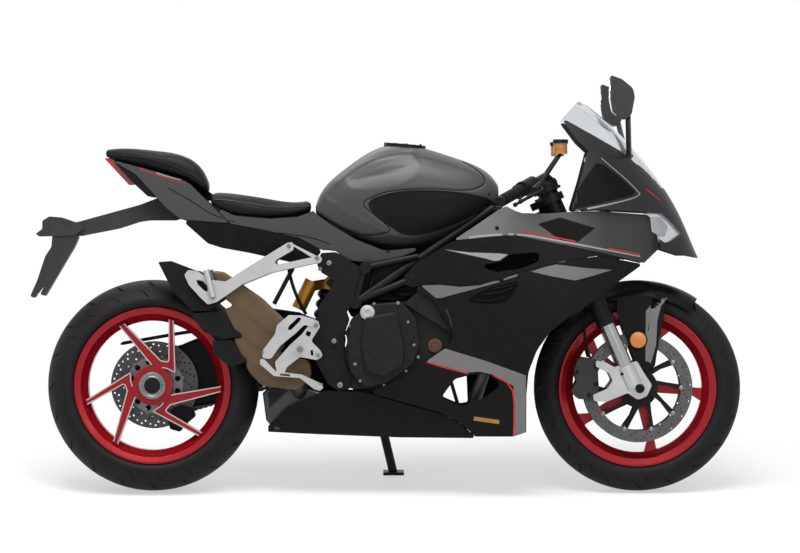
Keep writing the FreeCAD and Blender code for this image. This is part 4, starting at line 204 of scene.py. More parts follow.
# Finishes: colour, how metallic, how rough, how glossy, then grain and mottle as (size in 1/m, strength)
finishes = {
    "satinGrey": ((0.045, 0.0445, 0.045), 0.25, 0.4, 0.22, (2600, 0.00003), (900, 0.25)),
    "satinBlack": ((0.005, 0.005, 0.0052), 0.0, 0.34, 0.09, (1800, 0.00002), (30, 0.15)),
    # black for dark inserts, and for the painted shade of a recess
    "blackPanelAndRecessShade": ((0.0035, 0.0035, 0.0037), 0.0, 0.42, 0.08, (1800, 0.00002), (30, 0.15)),
    # black for dark joints between covers, and for painted shade in openings and behind the panels
    "gapBlack": ((0.002, 0.002, 0.002), 0.0, 0.7, 0.05, (900, 0.00003), (30, 0.1)),
    "kneeGrip": ((0.004, 0.004, 0.0042), 0.0, 0.5, 0.1, (260, 0.0005), (40, 0.15)),
    "blackPlastic": ((0.005, 0.005, 0.0055), 0.0, 0.5, 0.12, (900, 0.00012), (40, 0.2)),
    "blackMetal": ((0.0055, 0.0055, 0.006), 0.0, 0.38, 0.13, (700, 0.00008), (50, 0.2)),
    "engineGrey": ((0.0085, 0.0085, 0.009), 0.0, 0.45, 0.12, (500, 0.00012), (60, 0.25)),
    "candyRed": ((0.25, 0.003, 0.008), 0.4, 0.3, 0.25, (2500, 0.00002), (700, 0.2)),
    "machined": ((0.45, 0.42, 0.41), 0.75, 0.3, 0.5, (900, 0.00003), (200, 0.08)),
    "alloy": ((0.4, 0.4, 0.405), 0.6, 0.36, 0.5, (900, 0.00004), (14, 0.07)),
    "steel": ((0.2, 0.2, 0.203), 0.8, 0.3, 0.5, (700, 0.00004), (20, 0.1)),
    "discSteel": ((0.085, 0.085, 0.088), 0.8, 0.36, 0.5, (900, 0.00003), (25, 0.12)),
    "chrome": ((0.33, 0.33, 0.34), 0.9, 0.16, 0.5, (300, 0.00001), (20, 0.04)),
    "bronze": ((0.092, 0.06, 0.033), 0.2, 0.46, 0.2, (900, 0.00005), (18, 0.14)),
    "copper": ((0.09, 0.04, 0.024), 0.6, 0.38, 0.5, (700, 0.00005), (30, 0.15)),
    "gold": ((0.36, 0.155, 0.012), 0.5, 0.32, 0.5, (700, 0.00004), (25, 0.12)),
    "rubber": ((0.006, 0.006, 0.006), 0.0, 0.7, 0.1, (900, 0.00025), (50, 0.25)),
    "tyreRubber": ((0.0095, 0.0092, 0.009), 0.0, 0.58, 0.12, (900, 0.00008), (18, 0.18)),
    "seatCover": ((0.0065, 0.0065, 0.0068), 0.0, 0.55, 0.14, (650, 0.0003), (40, 0.2)),
    "seatPiping": ((0.013, 0.013, 0.0135), 0.0, 0.5, 0.3, (800, 0.0002), (60, 0.2)),
    "amber": ((0.3, 0.11, 0.015), 0.0, 0.25, 0.5, (200, 0.00003), (60, 0.3)),
    "reflectorOrange": ((0.5, 0.15, 0.008), 0.0, 0.2, 0.5, (700, 0.0002), (300, 0.12)),
    "redLens": ((0.35, 0.008, 0.012), 0.0, 0.12, 0.5, (300, 0.0001), (200, 0.2)),
    "stripeGrey": ((0.125, 0.122, 0.12), 0.2, 0.38, 0.5, (2000, 0.00002), (300, 0.1)),
    # silver for stripes and trim, and for painted highlights on the fairing
    "stripeSilver": ((0.23, 0.23, 0.232), 0.3, 0.36, 0.5, (2000, 0.00002), (300, 0.1)),
    "panelSilver": ((0.115, 0.113, 0.112), 0.4, 0.38, 0.5, (2000, 0.00002), (300, 0.1)),
    "plateBronze": ((0.3, 0.15, 0.04), 0.5, 0.4, 0.5, (900, 0.00004), (60, 0.15)),
    "stripeRed": ((0.48, 0.008, 0.014), 0.0, 0.36, 0.3, (2000, 0.00002), (300, 0.1)),
    "upperGrey": ((0.12, 0.118, 0.117), 0.2, 0.4, 0.22, (2600, 0.00003), (900, 0.2)),
    "cowlGrey": ((0.02, 0.0198, 0.02), 0.2, 0.4, 0.2, (2600, 0.00003), (900, 0.2)),
    "shellGrey": ((0.022, 0.022, 0.023), 0.0, 0.5, 0.25, (900, 0.0001), (40, 0.12)),
    "chainSteel": ((0.13, 0.13, 0.132), 0.75, 0.38, 0.5, (900, 0.00004), (60, 0.2)),
    "displayGlass": ((0.008, 0.009, 0.011), 0.0, 0.22, 0.3, (300, 0.000005), (20, 0.1)),
    "darkSteel": ((0.045, 0.045, 0.046), 0.7, 0.4, 0.5, (700, 0.00005), (20, 0.12)),
    "mirrorGlass": ((0.55, 0.57, 0.6), 1.0, 0.04, 0.5, (300, 0.000005), (20, 0.04)),
}
# A clear coat's weight and roughness, where there is one, and where along the bike a colour grows darker
coats = {"satinGrey": (0.1, 0.3), "candyRed": (0.2, 0.08), "amber": (0.4, 0.1), "reflectorOrange": (0.7, 0.1),
         "redLens": (0.6, 0.1)}
fades = {"upperGrey": (0.26, 0.62, 0.28)}
# Clear moulded plastic: colour, roughness and how much passes
clears = {"clearScreen": ((0.80, 0.82, 0.84, 1), 0.03, 1.0), "clearLens": ((0.75, 0.77, 0.8, 1), 0.03, 0.85)}
finishWays = {"mottleDetail": 4, "mottleFrom": 0.3, "mottleTo": 0.7, "grainDetail": 3, "roughLess": 0.88,
              "roughMore": 1.12, "noCoat": (0.0, 0.1), "clearIor": 1.2, "clearGloss": 0.5}


def makeFinish(name, colour, metal, rough, gloss, grainFacts, mottle):
    ways = finishWays
    coat, coatRough = coats.get(name, ways["noCoat"])
    paint = bpy.data.materials.new(name)
    paint.use_nodes = True
    tree = paint.node_tree
    shader = tree.nodes["Principled BSDF"]
    for socket, value in (("Metallic", metal), ("Specular IOR Level", gloss), ("Coat Weight", coat),
                          ("Coat Roughness", coatRough)):
        shader.inputs[socket].default_value = value
    place = addNode(tree, "TexCoord")
    patches = addNode(tree, "TexNoise", {"Scale": mottle[0], "Detail": ways["mottleDetail"]})
    ramp = addNode(tree, "ValToRGB")
    for element, at, way in zip(ramp.color_ramp.elements, (ways["mottleFrom"], ways["mottleTo"]), (-1, 1)):
        element.position = at
        element.color = [c * (1 + way * mottle[1]) for c in colour] + [1]
    shine = addNode(tree, "MapRange", {"To Min": rough * ways["roughLess"], "To Max": rough * ways["roughMore"]})
    grain = addNode(tree, "TexNoise", {"Scale": grainFacts[0], "Detail": ways["grainDetail"]})
    bump = addNode(tree, "Bump", {"Distance": grainFacts[1]})
    wire(tree, (place.outputs["Object"], patches.inputs["Vector"]), (place.outputs["Object"], grain.inputs["Vector"]),
         (patches.outputs["Fac"], ramp.inputs["Fac"]), (patches.outputs["Fac"], shine.inputs["Value"]),
         (shine.outputs["Result"], shader.inputs["Roughness"]), (grain.outputs["Fac"], bump.inputs["Height"]),
         (bump.outputs["Normal"], shader.inputs["Normal"]))
    tone = ramp.outputs["Color"]
    if name in fades:
        start, end, share = fades[name]
        axes = addNode(tree, "SeparateXYZ")
        along = addNode(tree, "MapRange", {"From Min": start + ground.x, "From Max": end + ground.x, "To Min": 1.0,
                                           "To Max": share})
        tint = addNode(tree, "VectorMath", operation="SCALE")
        wire(tree, (place.outputs["Object"], axes.inputs["Vector"]), (axes.outputs["X"], along.inputs["Value"]),
             (tone, tint.inputs[0]), (along.outputs["Result"], tint.inputs["Scale"]))
        tone = tint.outputs["Vector"]
    wire(tree, (tone, shader.inputs["Base Color"]))
    return paint


def makeClear(name, colour, rough, weight):
    paint = bpy.data.materials.new(name)
    paint.use_nodes = True
    shader = paint.node_tree.nodes["Principled BSDF"]
    for socket, value in (("Base Color", colour), ("Roughness", rough), ("Transmission Weight", weight),
                          ("IOR", finishWays["clearIor"]), ("Specular IOR Level", finishWays["clearGloss"])):
        shader.inputs[socket].default_value = value
    return paint


paints = {name: makeFinish(name, *facts) for name, facts in finishes.items()}
paints.update({name: makeClear(name, *facts) for name, facts in clears.items()})
print("stage: finishes")

# Which finish each node that stays from CAD wears
dressed = {
    "blackMetal": "trellis_frame frame_side_plates radiator swingarm rear_caliper shock_spring fuel_filler "
                  "fuel_cap fairing_pegs fairing_bracket side_stand fork_outer_tubes yokes handlebars",
    "engineGrey": "engine engine_covers",
    "steel": "chain rear_spindle rear_sprocket",
    "darkSteel": "exhaust_box header_pipes",
    "bronze": "silencers",
    "blackPlastic": "silencer_tips tail_core instrument_cluster bar_controls airbox",
    "gold": "rear_shock",
    "alloy": "passenger_hangers rearsets foot_pegs fork_feet",
    "satinGrey": "tail_panels fuel_tank",
    "satinBlack": "tail_lower_panels lower_fairings belly_pan front_fender",
    "seatCover": "rider_seat passenger_seat",
    "shellGrey": "plate_arm mirrors front_calipers",
    "upperGrey": "upper_fairings",
    "clearLens": "headlight_lens",
    "cowlGrey": "nose_panels",
    "clearScreen": "windscreen",
    "chrome": "headlights fork_stanchions",
    "redLens": "tail_lamp",
    "rubber": "grips brake_hoses",
    "amber": "reservoirs",
    "tyreRubber": "front_tyre rear_tyre",
    "candyRed": "front_rim rear_rim",
    "discSteel": "front_discs rear_disc",
}
# Rounded edges, in metres, for what is cast, forged or moulded
rounded = {
    0.0016: "rearsets rear_rim front_rim",
    0.0028: "passenger_hangers",
    0.003: "fork_feet swingarm silencer_tips",
    0.004: "engine_covers",
    0.0025: "engine frame_side_plates front_calipers rear_caliper",
    0.002: "yokes plate_arm tail_lamp",
    0.0012: "belly_pan foot_pegs rear_shock",
    0.001: "lower_fairings upper_fairings tail_panels front_fender",
    0.0015: "fairing_bracket side_stand reservoirs bar_controls",
    0.011: "mirrors",
    0.006: "instrument_cluster",
}
dressing = {"weld": 0.00002, "flat": 0.6, "bevelFrom": 38, "softCrease": 50, "crease": 32.0, "segments": 2,
            "weight": 60}


def byNode(groups):
    return {name: key for key, names in groups.items() for name in names.split()}


def dressNode(node, finish, edge):
    mesh = node.data
    mesh.materials.clear()
    mesh.materials.append(paints[finish])
    mesh.polygons.foreach_set("use_smooth", [True] * len(mesh.polygons))
    node.modifiers.new("weld", "WELD").merge_threshold = dressing["weld"]
    if edge:
        flat = node.modifiers.new("flats", "DECIMATE")
        flat.decimate_type = "DISSOLVE"
        flat.angle_limit = math.radians(dressing["flat"])
        soft = node.modifiers.new("rounded", "BEVEL")
        soft.width = edge
        soft.segments = dressing["segments"]
        soft.limit_method = "ANGLE"
        soft.angle_limit = math.radians(dressing["bevelFrom"])
        soft.use_clamp_overlap = True
    split = node.modifiers.new("creases", "EDGE_SPLIT")
    split.split_angle = math.radians(dressing["softCrease" if edge else "crease"])
    if edge:
        level = node.modifiers.new("level", "WEIGHTED_NORMAL")
        level.keep_sharp = True
        level.weight = dressing["weight"]


finishOf, edgeOf = byNode(dressed), byNode(rounded)
for name, node in nodes.items():
    dressNode(node, finishOf[name], edgeOf.get(name))
print("stage: carried-over nodes dressed")

# Shared by all pieces: how far apart merged corners lie, in metres
merge = {"fine": 0.00001, "usual": 0.00002, "loose": 0.00004}
# How flat outlines are rounded, eased, cut into strips and laid on a surface
drawing = {"narrowest": 0.02, "edgeShare": 0.46, "ease": 0.25, "level": 1e-6, "cut": 1e-6, "strip": 2, "castFrom": 0.6}


def addPiece(name, bm, finish, body, slotName, replaced=(), crease=32.0, both=False):
    if both:
        mirrorAll(bm)
    bmesh.ops.recalc_face_normals(bm, faces=bm.faces)
    bm.normal_update()
    for edge in bm.edges:
        edge.smooth = len(edge.link_faces) != 2 or edge.calc_face_angle(0.0) < math.radians(crease)
    for face in bm.faces:
        face.smooth = True
    bm.transform(fromBikeMatrix)
    mesh = bpy.data.meshes.new(name)
    bm.to_mesh(mesh)
    bm.free()
    mesh.materials.append(paints[finish])
    piece = linked(name, mesh)
    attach(piece, body)
    if replaced:
        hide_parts(*replaced)
    return piece


def wholeOf(bm):
    return bm.verts[:] + bm.edges[:] + bm.faces[:]


def extruded(bm, faces, shift):
    made = bmesh.ops.extrude_face_region(bm, geom=faces)
    moved = [item for item in made["geom"] if isinstance(item, bmesh.types.BMVert)]
    bmesh.ops.translate(bm, verts=moved, vec=shift)


def pairsOf(line, closed=True):
    return list(zip(line, line[1:] + line[:1] if closed else line[1:]))


def looped(bm, verts):
    for pair in pairsOf(verts):
        bm.edges.new(pair)


def appended(bm, part):
    mesh = bpy.data.meshes.new("part")
    part.to_mesh(mesh)
    part.free()
    bm.from_mesh(mesh)
    bpy.data.meshes.remove(mesh)


def added(bm, make, *facts):
    part = bmesh.new()
    make(part, *facts)
    appended(bm, part)


def mirrorAll(bm):
    bmesh.ops.mirror(bm, geom=wholeOf(bm), matrix=Matrix(), merge_dist=merge["fine"], axis="Y")


def settled(bm, distance=merge["usual"]):
    bmesh.ops.remove_doubles(bm, verts=bm.verts, dist=distance)
    bmesh.ops.recalc_face_normals(bm, faces=bm.faces)


def roundedOutline(points, radius, steps=4):
    # cuts each (across, down) corner back and bends it round
    out = []
    for i, point in enumerate(points):
        here = Vector(point)
        back = Vector(points[i - 1]) - here
        ahead = Vector(points[(i + 1) % len(points)]) - here
        slope = max(math.tan(back.angle(ahead) / 2), drawing["narrowest"])
        reach = min(radius / slope, drawing["edgeShare"] * back.length, drawing["edgeShare"] * ahead.length)
        start, end = here + back.normalized() * reach, here + ahead.normalized() * reach
        for k in range(steps + 1):
            t = k / steps
            out.append(start * (1 - t) ** 2 + here * 2 * t * (1 - t) + end * t * t)
    return out


def eased(points, times=2, closed=False):
    # corner cutting along a line of (across, down) points
    line = [Vector(p) for p in points]
    far, near = drawing["ease"], 1 - drawing["ease"]
    for _ in range(times):
        cut = [place for a, b in pairsOf(line, closed) for place in (a * near + b * far, a * far + b * near)]
        line = cut if closed else [line[0]] + cut + [line[-1]]
    return line


def slab(bm, points, near, far, radius, bevel):
    # a side-view outline given a thickness across the bike, its edges rounded
    corners = [flatSpot(*point, near) for point in roundedOutline(points, radius)]
    extruded(bm, [bm.faces.new([bm.verts.new((x, near, z)) for x, z in corners])], (0, far - near, 0))
    rims = [e for e in bm.edges if abs(e.verts[0].co.y - e.verts[1].co.y) < drawing["level"]]
    bmesh.ops.bevel(bm, geom=rims, offset=bevel, segments=1, profile=0.5, affect="EDGES", material=-1,
                    clamp_overlap=True)


def peg(bm, centre, axis, radius, height, sides=20, top=1.0, bevel=0.0):
    # a short round bar, its far end rounded off
    axis = Vector(axis)
    tip = Vector(centre) + axis.normalized() * height
    turn = axis.to_track_quat("Z", "Y").to_matrix().to_4x4()
    place = Matrix.Translation(Vector(centre) + axis.normalized() * height / 2) @ turn
    made = bmesh.ops.create_cone(bm, cap_ends=True, segments=sides, radius1=radius, radius2=radius * top,
                                 depth=height, matrix=place)
    far = max({f for v in made["verts"] for f in v.link_faces}, key=lambda f: f.calc_center_median().dot(axis))
    if bevel:
        bmesh.ops.bevel(bm, geom=list(far.edges), offset=bevel, segments=2, profile=0.5, affect="EDGES", material=-1)
        far = min((f for f in bm.faces if f.is_valid and len(f.verts) == sides),
                  key=lambda f: (f.calc_center_median() - tip).length)
    return far


# Bolt heads, as shares of their radius and height
boltHead = {"sides": 12, "top": 0.94, "edge": 0.12, "socket": 0.42, "wall": 0.02, "deep": 0.55, "ring": 0.25,
            "dome": 0.12}


def bolt(bm, centre, axis, radius, height, socket=True):
    head = boltHead
    far = peg(bm, centre, axis, radius, height, head["sides"], head["top"], radius * head["edge"])
    if socket:
        bmesh.ops.inset_individual(bm, faces=[far], thickness=radius * head["socket"], depth=0)
        bmesh.ops.inset_individual(bm, faces=[far], thickness=radius * head["wall"], depth=-height * head["deep"])
    else:
        bmesh.ops.inset_individual(bm, faces=[far], thickness=radius * head["ring"], depth=height * head["dome"])


def hose(bm, points, radius, sides=4, smoothness=10):
    # a bar along one smooth line through guiding points
    curve = bpy.data.curves.new("line", "CURVE")
    curve.dimensions = "3D"
    line = curve.splines.new("NURBS")
    line.points.add(len(points) - 1)
    for point, place in zip(line.points, points):
        point.co = (*place, 1)
    line.order_u = min(4, len(points))
    line.use_endpoint_u = True
    line.resolution_u = smoothness
    curve.bevel_depth = radius
    curve.bevel_resolution = sides
    curve.use_fill_caps = True
    holder = bpy.data.objects.new("line", curve)
    mesh = bpy.data.meshes.new_from_object(holder)
    bm.from_mesh(mesh)
    bpy.data.objects.remove(holder)
    bpy.data.curves.remove(curve)
    bpy.data.meshes.remove(mesh)


def spun(bm, profile, centre, steps=96, closed=True):
    # a ring turned about a line across the bike, from (side, radius) corners
    verts = [bm.verts.new((centre[0], y, centre[2] + r)) for y, r in profile]
    edges = [bm.edges.new(pair) for pair in pairsOf(verts, closed)]
    bmesh.ops.spin(bm, geom=verts + edges, cent=(centre[0], 0, centre[2]), axis=(0, 1, 0), angle=2 * math.pi,
                   steps=steps, use_merge=True, use_duplicate=False)


def aroundAxle(bm, centre, count):
    # copies of a segment all the way round an axle
    geom = wholeOf(bm)
    for i in range(1, count):
        made = bmesh.ops.duplicate(bm, geom=geom)
        verts = [item for item in made["geom"] if isinstance(item, bmesh.types.BMVert)]
        bmesh.ops.rotate(bm, verts=verts, cent=(centre[0], 0, centre[2]),
                         matrix=Matrix.Rotation(2 * math.pi * i / count, 3, "Y"))


def ringAt(centre, radius, angle, side):
    return (centre.x + radius * math.sin(angle), side, centre.z + radius * math.cos(angle))


def cadCopy(*names):
    bm = bmesh.new()
    for name in names:
        bm.from_mesh(nodes[name].data)
    bm.transform(toBikeMatrix)
    return bm


def cadTree(*names):
    bm = cadCopy(*names)
    tree = BVHTree.FromBMesh(bm)
    bm.free()
    return tree


def cadCorners(*names):
    return np.array([toBikeMatrix @ v.co for name in names for v in nodes[name].data.vertices])


def sliced(bm, place, normal, distance):
    bmesh.ops.bisect_plane(bm, geom=wholeOf(bm), dist=distance, plane_co=place, plane_no=normal)


def netted(outline, step):
    # a flat face in the bike's middle plane, cut into a net
    bm = bmesh.new()
    looped(bm, [bm.verts.new(px(*p)) for p in outline])
    bmesh.ops.triangle_fill(bm, edges=bm.edges[:], use_beauty=False, use_dissolve=False)
    for axis, normal in ((0, Vector((1, 0, 0))), (2, Vector((0, 0, 1)))):
        low = min(v.co[axis] for v in bm.verts)
        high = max(v.co[axis] for v in bm.verts)
        for k in range(math.floor(low / step) + 1, math.ceil(high / step)):
            sliced(bm, normal * k * step, normal, drawing["cut"])
    return bm


def ribbon(line, width, endWidth=None, closed=False, times=2):
    # a stripe along a line, as a row of small faces in the bike's middle plane
    line = eased(line, times, closed)
    points = []
    for a, b in pairsOf(line, closed):
        pieces = max(1, round((b - a).length / drawing["strip"]))
        points += [a + (b - a) * k / pieces for k in range(pieces)]
    if not closed:
        points.append(line[-1])
    bm = bmesh.new()
    last = len(points) - 1
    rungs = []
    for i, here in enumerate(points):
        back = points[i - 1] if closed or i else points[0]
        ahead = points[(i + 1) % (last + 1)] if closed else points[min(i + 1, last)]
        along = (ahead - back).normalized()
        wide = width if endWidth is None else width + (endWidth - width) * i / last
        across = Vector((-along.y, along.x)) * wide / 2
        rungs.append([bm.verts.new(px(*(here + across))), bm.verts.new(px(*(here - across)))])
    for a, b in pairsOf(rungs, closed):
        bm.faces.new((a[0], b[0], b[1], a[1]))
    return bm


def castAt(place, tree):
    along = (place - eye).normalized()
    hit, normal, _, _ = tree.ray_cast(eye + along * (cameraAway - drawing["castFrom"]), along, drawing["castFrom"])
    return hit, normal, along


def castOn(bm, tree, lift):
    # lays the net on the object's right side, as the camera sees it, and drops what misses
    missed = []
    for v in bm.verts:
        hit, normal, along = castAt(v.co, tree)
        if hit is None:
            missed.append(v)
        else:
            v.co = hit + (-normal if normal.dot(along) > 0 else normal) * lift
    bmesh.ops.delete(bm, geom=missed, context="VERTS")
    bm.normal_update()
    for face in bm.faces:
        if face.normal.y > 0:
            face.normal_flip()


def decals(name, outlines, tree, finish, body, slotName, lift=0.0004, wall=0.0004, step=0.008):
    # thin painted or moulded shapes laid on what is there, on both sides
    whole = bmesh.new()
    for outline in outlines:
        bm = ribbon(**outline) if isinstance(outline, dict) else netted(outline, step)
        castOn(bm, tree, lift)
        bmesh.ops.solidify(bm, geom=bm.faces[:], thickness=-wall)
        appended(whole, bm)
    addPiece(name, whole, finish, body, slotName, both=True)


# Tyres: crown, sidewall and bead as one section, with curved grooves cut into one pitch and repeated
tyres = {
    "rear": {"centre": bikeRear, "radius": 0.3105, "half": 0.095, "drop": 0.056, "bead": 0.0758, "flange": 0.2302,
             "pitches": 20, "slices": 6, "body": "rear_wheel",
             "grooves": [(0.14, 0.62, 0.30, 0.0036), (0.70, 0.93, 0.78, 0.0024)], "sweep": 0.060},
    "front": {"centre": bikeFront, "radius": 0.304, "half": 0.060, "drop": 0.048, "bead": 0.0438, "flange": 0.2322,
              "pitches": 20, "slices": 6, "body": "front_wheel",
              "grooves": [(0.12, 0.66, 0.30, 0.0034), (0.72, 0.93, 0.78, 0.0022)], "sweep": 0.050},
}
tyreSection = {"edgeShare": 0.97, "protector": 0.003, "bulge": 0.0025, "foot": 0.006, "seat": 0.2162, "corner": 0.002,
               "crownSteps": 16, "wallSteps": 14, "grooveSteps": 8, "grooveEnd": 0.06, "grooveTip": 0.3,
               "grooveRound": 0.4, "grooveDepth": 0.0035, "sweepPower": 1.4, "cut": 1e-7,
               "ribs": [(0.36, 0.0006), (0.46, 0.0006), (0.90, 0.0008)]}


def arcThrough(a, b, c, count):
    # points on the round line through three (side, radius) points
    squares = [p[0] ** 2 + p[1] ** 2 for p in (a, b, c)]
    d = 2 * (a[0] * (b[1] - c[1]) + b[0] * (c[1] - a[1]) + c[0] * (a[1] - b[1]))
    x = (squares[0] * (b[1] - c[1]) + squares[1] * (c[1] - a[1]) + squares[2] * (a[1] - b[1])) / d
    y = (squares[0] * (c[0] - b[0]) + squares[1] * (a[0] - c[0]) + squares[2] * (b[0] - a[0])) / d
    radius = math.hypot(a[0] - x, a[1] - y)
    start = math.atan2(a[1] - y, a[0] - x)
    turn = (math.atan2(c[1] - y, c[0] - x) - start + math.pi) % (2 * math.pi) - math.pi
    angles = [start + turn * k / count for k in range(count + 1)]
    return [(x + radius * math.cos(angle), y + radius * math.sin(angle)) for angle in angles]


def tyreProfile(facts):
    shape = tyreSection
    edge = facts["half"] * shape["edgeShare"]
    shoulder = facts["radius"] - facts["drop"]
    foot = (facts["bead"] + shape["foot"], facts["flange"] + shape["protector"])
    middle = (facts["half"] - shape["bulge"], (facts["flange"] + shoulder) / 2 + shape["protector"])
    radius = (edge ** 2 + facts["drop"] ** 2) / (2 * facts["drop"])
    widest = math.asin(edge / radius)
    angles = [widest * k / shape["crownSteps"] for k in range(shape["crownSteps"] + 1)]
    crown = [(radius * math.sin(a), facts["radius"] - radius * (1 - math.cos(a))) for a in angles]
    wall = arcThrough((edge, shoulder), middle, foot, shape["wallSteps"])[1:]
    for share, height in shape["ribs"]:
        k = int(share * len(wall))
        wall[k] = (wall[k][0] + height, wall[k][1])
    inner = [(facts["bead"], facts["flange"]), (facts["bead"], shape["seat"] + shape["corner"]),
             (facts["bead"] - shape["corner"], shape["seat"])]
    right = crown + wall + inner
    left = [(-y, r) for y, r in right[::-1]]
    return left[:-1] + right, len(inner) + len(wall)


def grooveRing(low, high, place, width, side, middle, tread):
    shape = tyreSection
    end = shape["grooveEnd"]
    steps = list(range(shape["grooveSteps"] + 1))
    ring = []
    for way, order in ((-1, steps), (1, steps[::-1])):
        for k in order:
            t = k / shape["grooveSteps"]
            share = 1 if 0 < k < shape["grooveSteps"] else shape["grooveTip"]
            half = width / 2 * math.sin(math.pi * min(max(t, end), 1 - end)) ** shape["grooveRound"] * share
            ring.append((place + way * half, middle + side * tread * (low + (high - low) * t)))
    return ring


def dropFilled(bm, loops):
    # takes out the faces that fill a loop
    held = [set(loop) for loop in loops]
    for face in list(bm.faces):
        if any(all(v in ring for v in face.verts) for ring in held):
            bm.faces.remove(face)


def makeTyre(name, facts):
    profile, outerStart = tyreProfile(facts)
    lengths = [0.0]
    for a, b in pairsOf(profile, False):
        lengths.append(lengths[-1] + math.hypot(b[0] - a[0], b[1] - a[1]))
    total = lengths[-1]
    middle = total / 2
    tread = middle - lengths[outerStart]
    pitch = 2 * math.pi * facts["radius"] / facts["pitches"]
    bm = bmesh.new()
    looped(bm, [bm.verts.new(p) for p in ((0, 0, 0), (pitch, 0, 0), (pitch, total, 0), (0, total, 0))])
    loops = []
    for side, shift in ((1, 0.0), (-1, 0.5)):
        for low, high, place, width in facts["grooves"]:
            place = min(max(((place + shift) % 1.0) * pitch, width), pitch - width)
            ring = grooveRing(low, high, place, width, side, middle, tread)
            loops.append([bm.verts.new((*p, 0)) for p in ring])
            looped(bm, loops[-1])
    bmesh.ops.triangle_fill(bm, edges=bm.edges[:], use_beauty=True, use_dissolve=False)
    for face in bm.faces:
        face.material_index = 0
    dropFilled(bm, loops)
    for verts in loops:
        bm.faces.new(verts).material_index = 1
    for length in lengths[1:-1]:
        sliced(bm, (0, length, 0), (0, 1, 0), tyreSection["cut"])
    for k in range(1, facts["slices"]):
        sliced(bm, (pitch * k / facts["slices"], 0, 0), (1, 0, 0), tyreSection["cut"])
    extruded(bm, [f for f in bm.faces if f.material_index == 1], (0, 0, -tyreSection["grooveDepth"]))
    for v in bm.verts:
        k = min(max(i for i, length in enumerate(lengths) if length <= v.co.y + 1e-9), len(profile) - 2)
        t = (v.co.y - lengths[k]) / (lengths[k + 1] - lengths[k])
        a, b = profile[k], profile[k + 1]
        along = Vector((b[0] - a[0], b[1] - a[1])).normalized()
        y = a[0] + (b[0] - a[0]) * t - along.y * v.co.z
        r = a[1] + (b[1] - a[1]) * t + along.x * v.co.z
        share = max(-1.0, min(1.0, (v.co.y - middle) / tread))
        angle = (v.co.x + facts["sweep"] * abs(share) ** tyreSection["sweepPower"]) / facts["radius"]
        v.co = ringAt(facts["centre"], r, angle, y)
    for face in bm.faces:
        face.material_index = 0
    aroundAxle(bm, facts["centre"], facts["pitches"])
    settled(bm, merge["loose"])
    addPiece(name + "TyreTread", bm, "tyreRubber", facts["body"], "tyre", [name + "_tyre"], 30.0)


for name, facts in tyres.items():
    makeTyre(name, facts)
print("stage: tyres")


def drilledRing(bm, centre, low, high, outer, inner, sectors, holes, arcSteps=4, holeSides=10):
    # one flat sector with its holes, repeated, joined and given its thickness
    flat = bmesh.new()
    step = 2 * math.pi / sectors
    steps = list(range(arcSteps + 1))
    loops = [[flat.verts.new(ringAt(centre, radius, step * k / arcSteps, low))
              for radius, order in ((outer, steps), (inner, steps[::-1])) for k in order]]
    for radius, share, size in holes:
        x, _, z = ringAt(centre, radius, step * share, low)
        turns = [2 * math.pi * k / holeSides for k in range(holeSides)]
        loops.append([flat.verts.new((x + size * math.cos(turn), low, z + size * math.sin(turn))) for turn in turns])
    for loop in loops:
        looped(flat, loop)
    bmesh.ops.triangle_fill(flat, edges=flat.edges[:], use_beauty=True, use_dissolve=False)
    dropFilled(flat, loops[1:])
    aroundAxle(flat, centre, sectors)
    bmesh.ops.remove_doubles(flat, verts=flat.verts, dist=merge["usual"])
    extruded(flat, flat.faces[:], (0, high - low, 0))
    bmesh.ops.recalc_face_normals(flat, faces=flat.faces)
    appended(bm, flat)


def flatPlate(bm, corners, low, high):
    # a plate with corners (x, z) between two distances across the bike
    part = bmesh.new()
    extruded(part, [part.faces.new([part.verts.new((x, low, z)) for x, z in corners])], (0, high - low, 0))
    bmesh.ops.recalc_face_normals(part, faces=part.faces)
    appended(bm, part)


# Brake discs: drilled rings, the front ones floating on bobbins round a carrier with curved arms
frontDisc = {"middle": 0.069, "wall": 0.005, "outer": 0.160, "inner": 0.126, "sectors": 20,
             "holes": [(0.1325, 0.18, 0.0026), (0.1385, 0.42, 0.0026), (0.1450, 0.62, 0.0026), (0.1525, 0.82, 0.0026),
                       (0.1490, 0.12, 0.0022)],
             "arms": 10, "hub": 0.034, "hubOuter": 0.058, "hubFace": 0.060, "hubHoles": [(0.0465, 0.5, 0.0035)],
             "armWidth": 0.0125, "armWall": 0.0035, "armIn": 0.0008,
             "armLine": [(0.050, 0.0, 1.3), (0.085, 0.62, 0.75), (0.127, 1.0, 1.25)],
             "bobbin": 0.0075, "bobbinOut": 0.001, "bobbinIn": 0.0005, "bobbinProud": 0.0035}
rearDisc = {"middle": 0.066, "wall": 0.005, "outer": 0.129, "inner": 0.084, "sectors": 18,
            "holes": [(0.0925, 0.2, 0.0028), (0.1010, 0.45, 0.0028), (0.1100, 0.7, 0.0028), (0.1200, 0.92, 0.0028),
                      (0.1165, 0.30, 0.0024)],
            "carrier": (0.001, 0.005), "overlap": 0.001, "carrierInner": 0.056, "sides": 12,
            "carrierHoles": [(0.0705, 0.5, 0.0085)], "hubFace": 0.048, "hubOuter": 0.058, "hub": 0.030,
            "hubHoles": [(0.044, 0.5, 0.004)],
            "bolts": 6, "boltRing": 0.0835, "boltTurn": 0.26, "boltIn": 0.0012, "bolt": (0.006, 0.0032)}


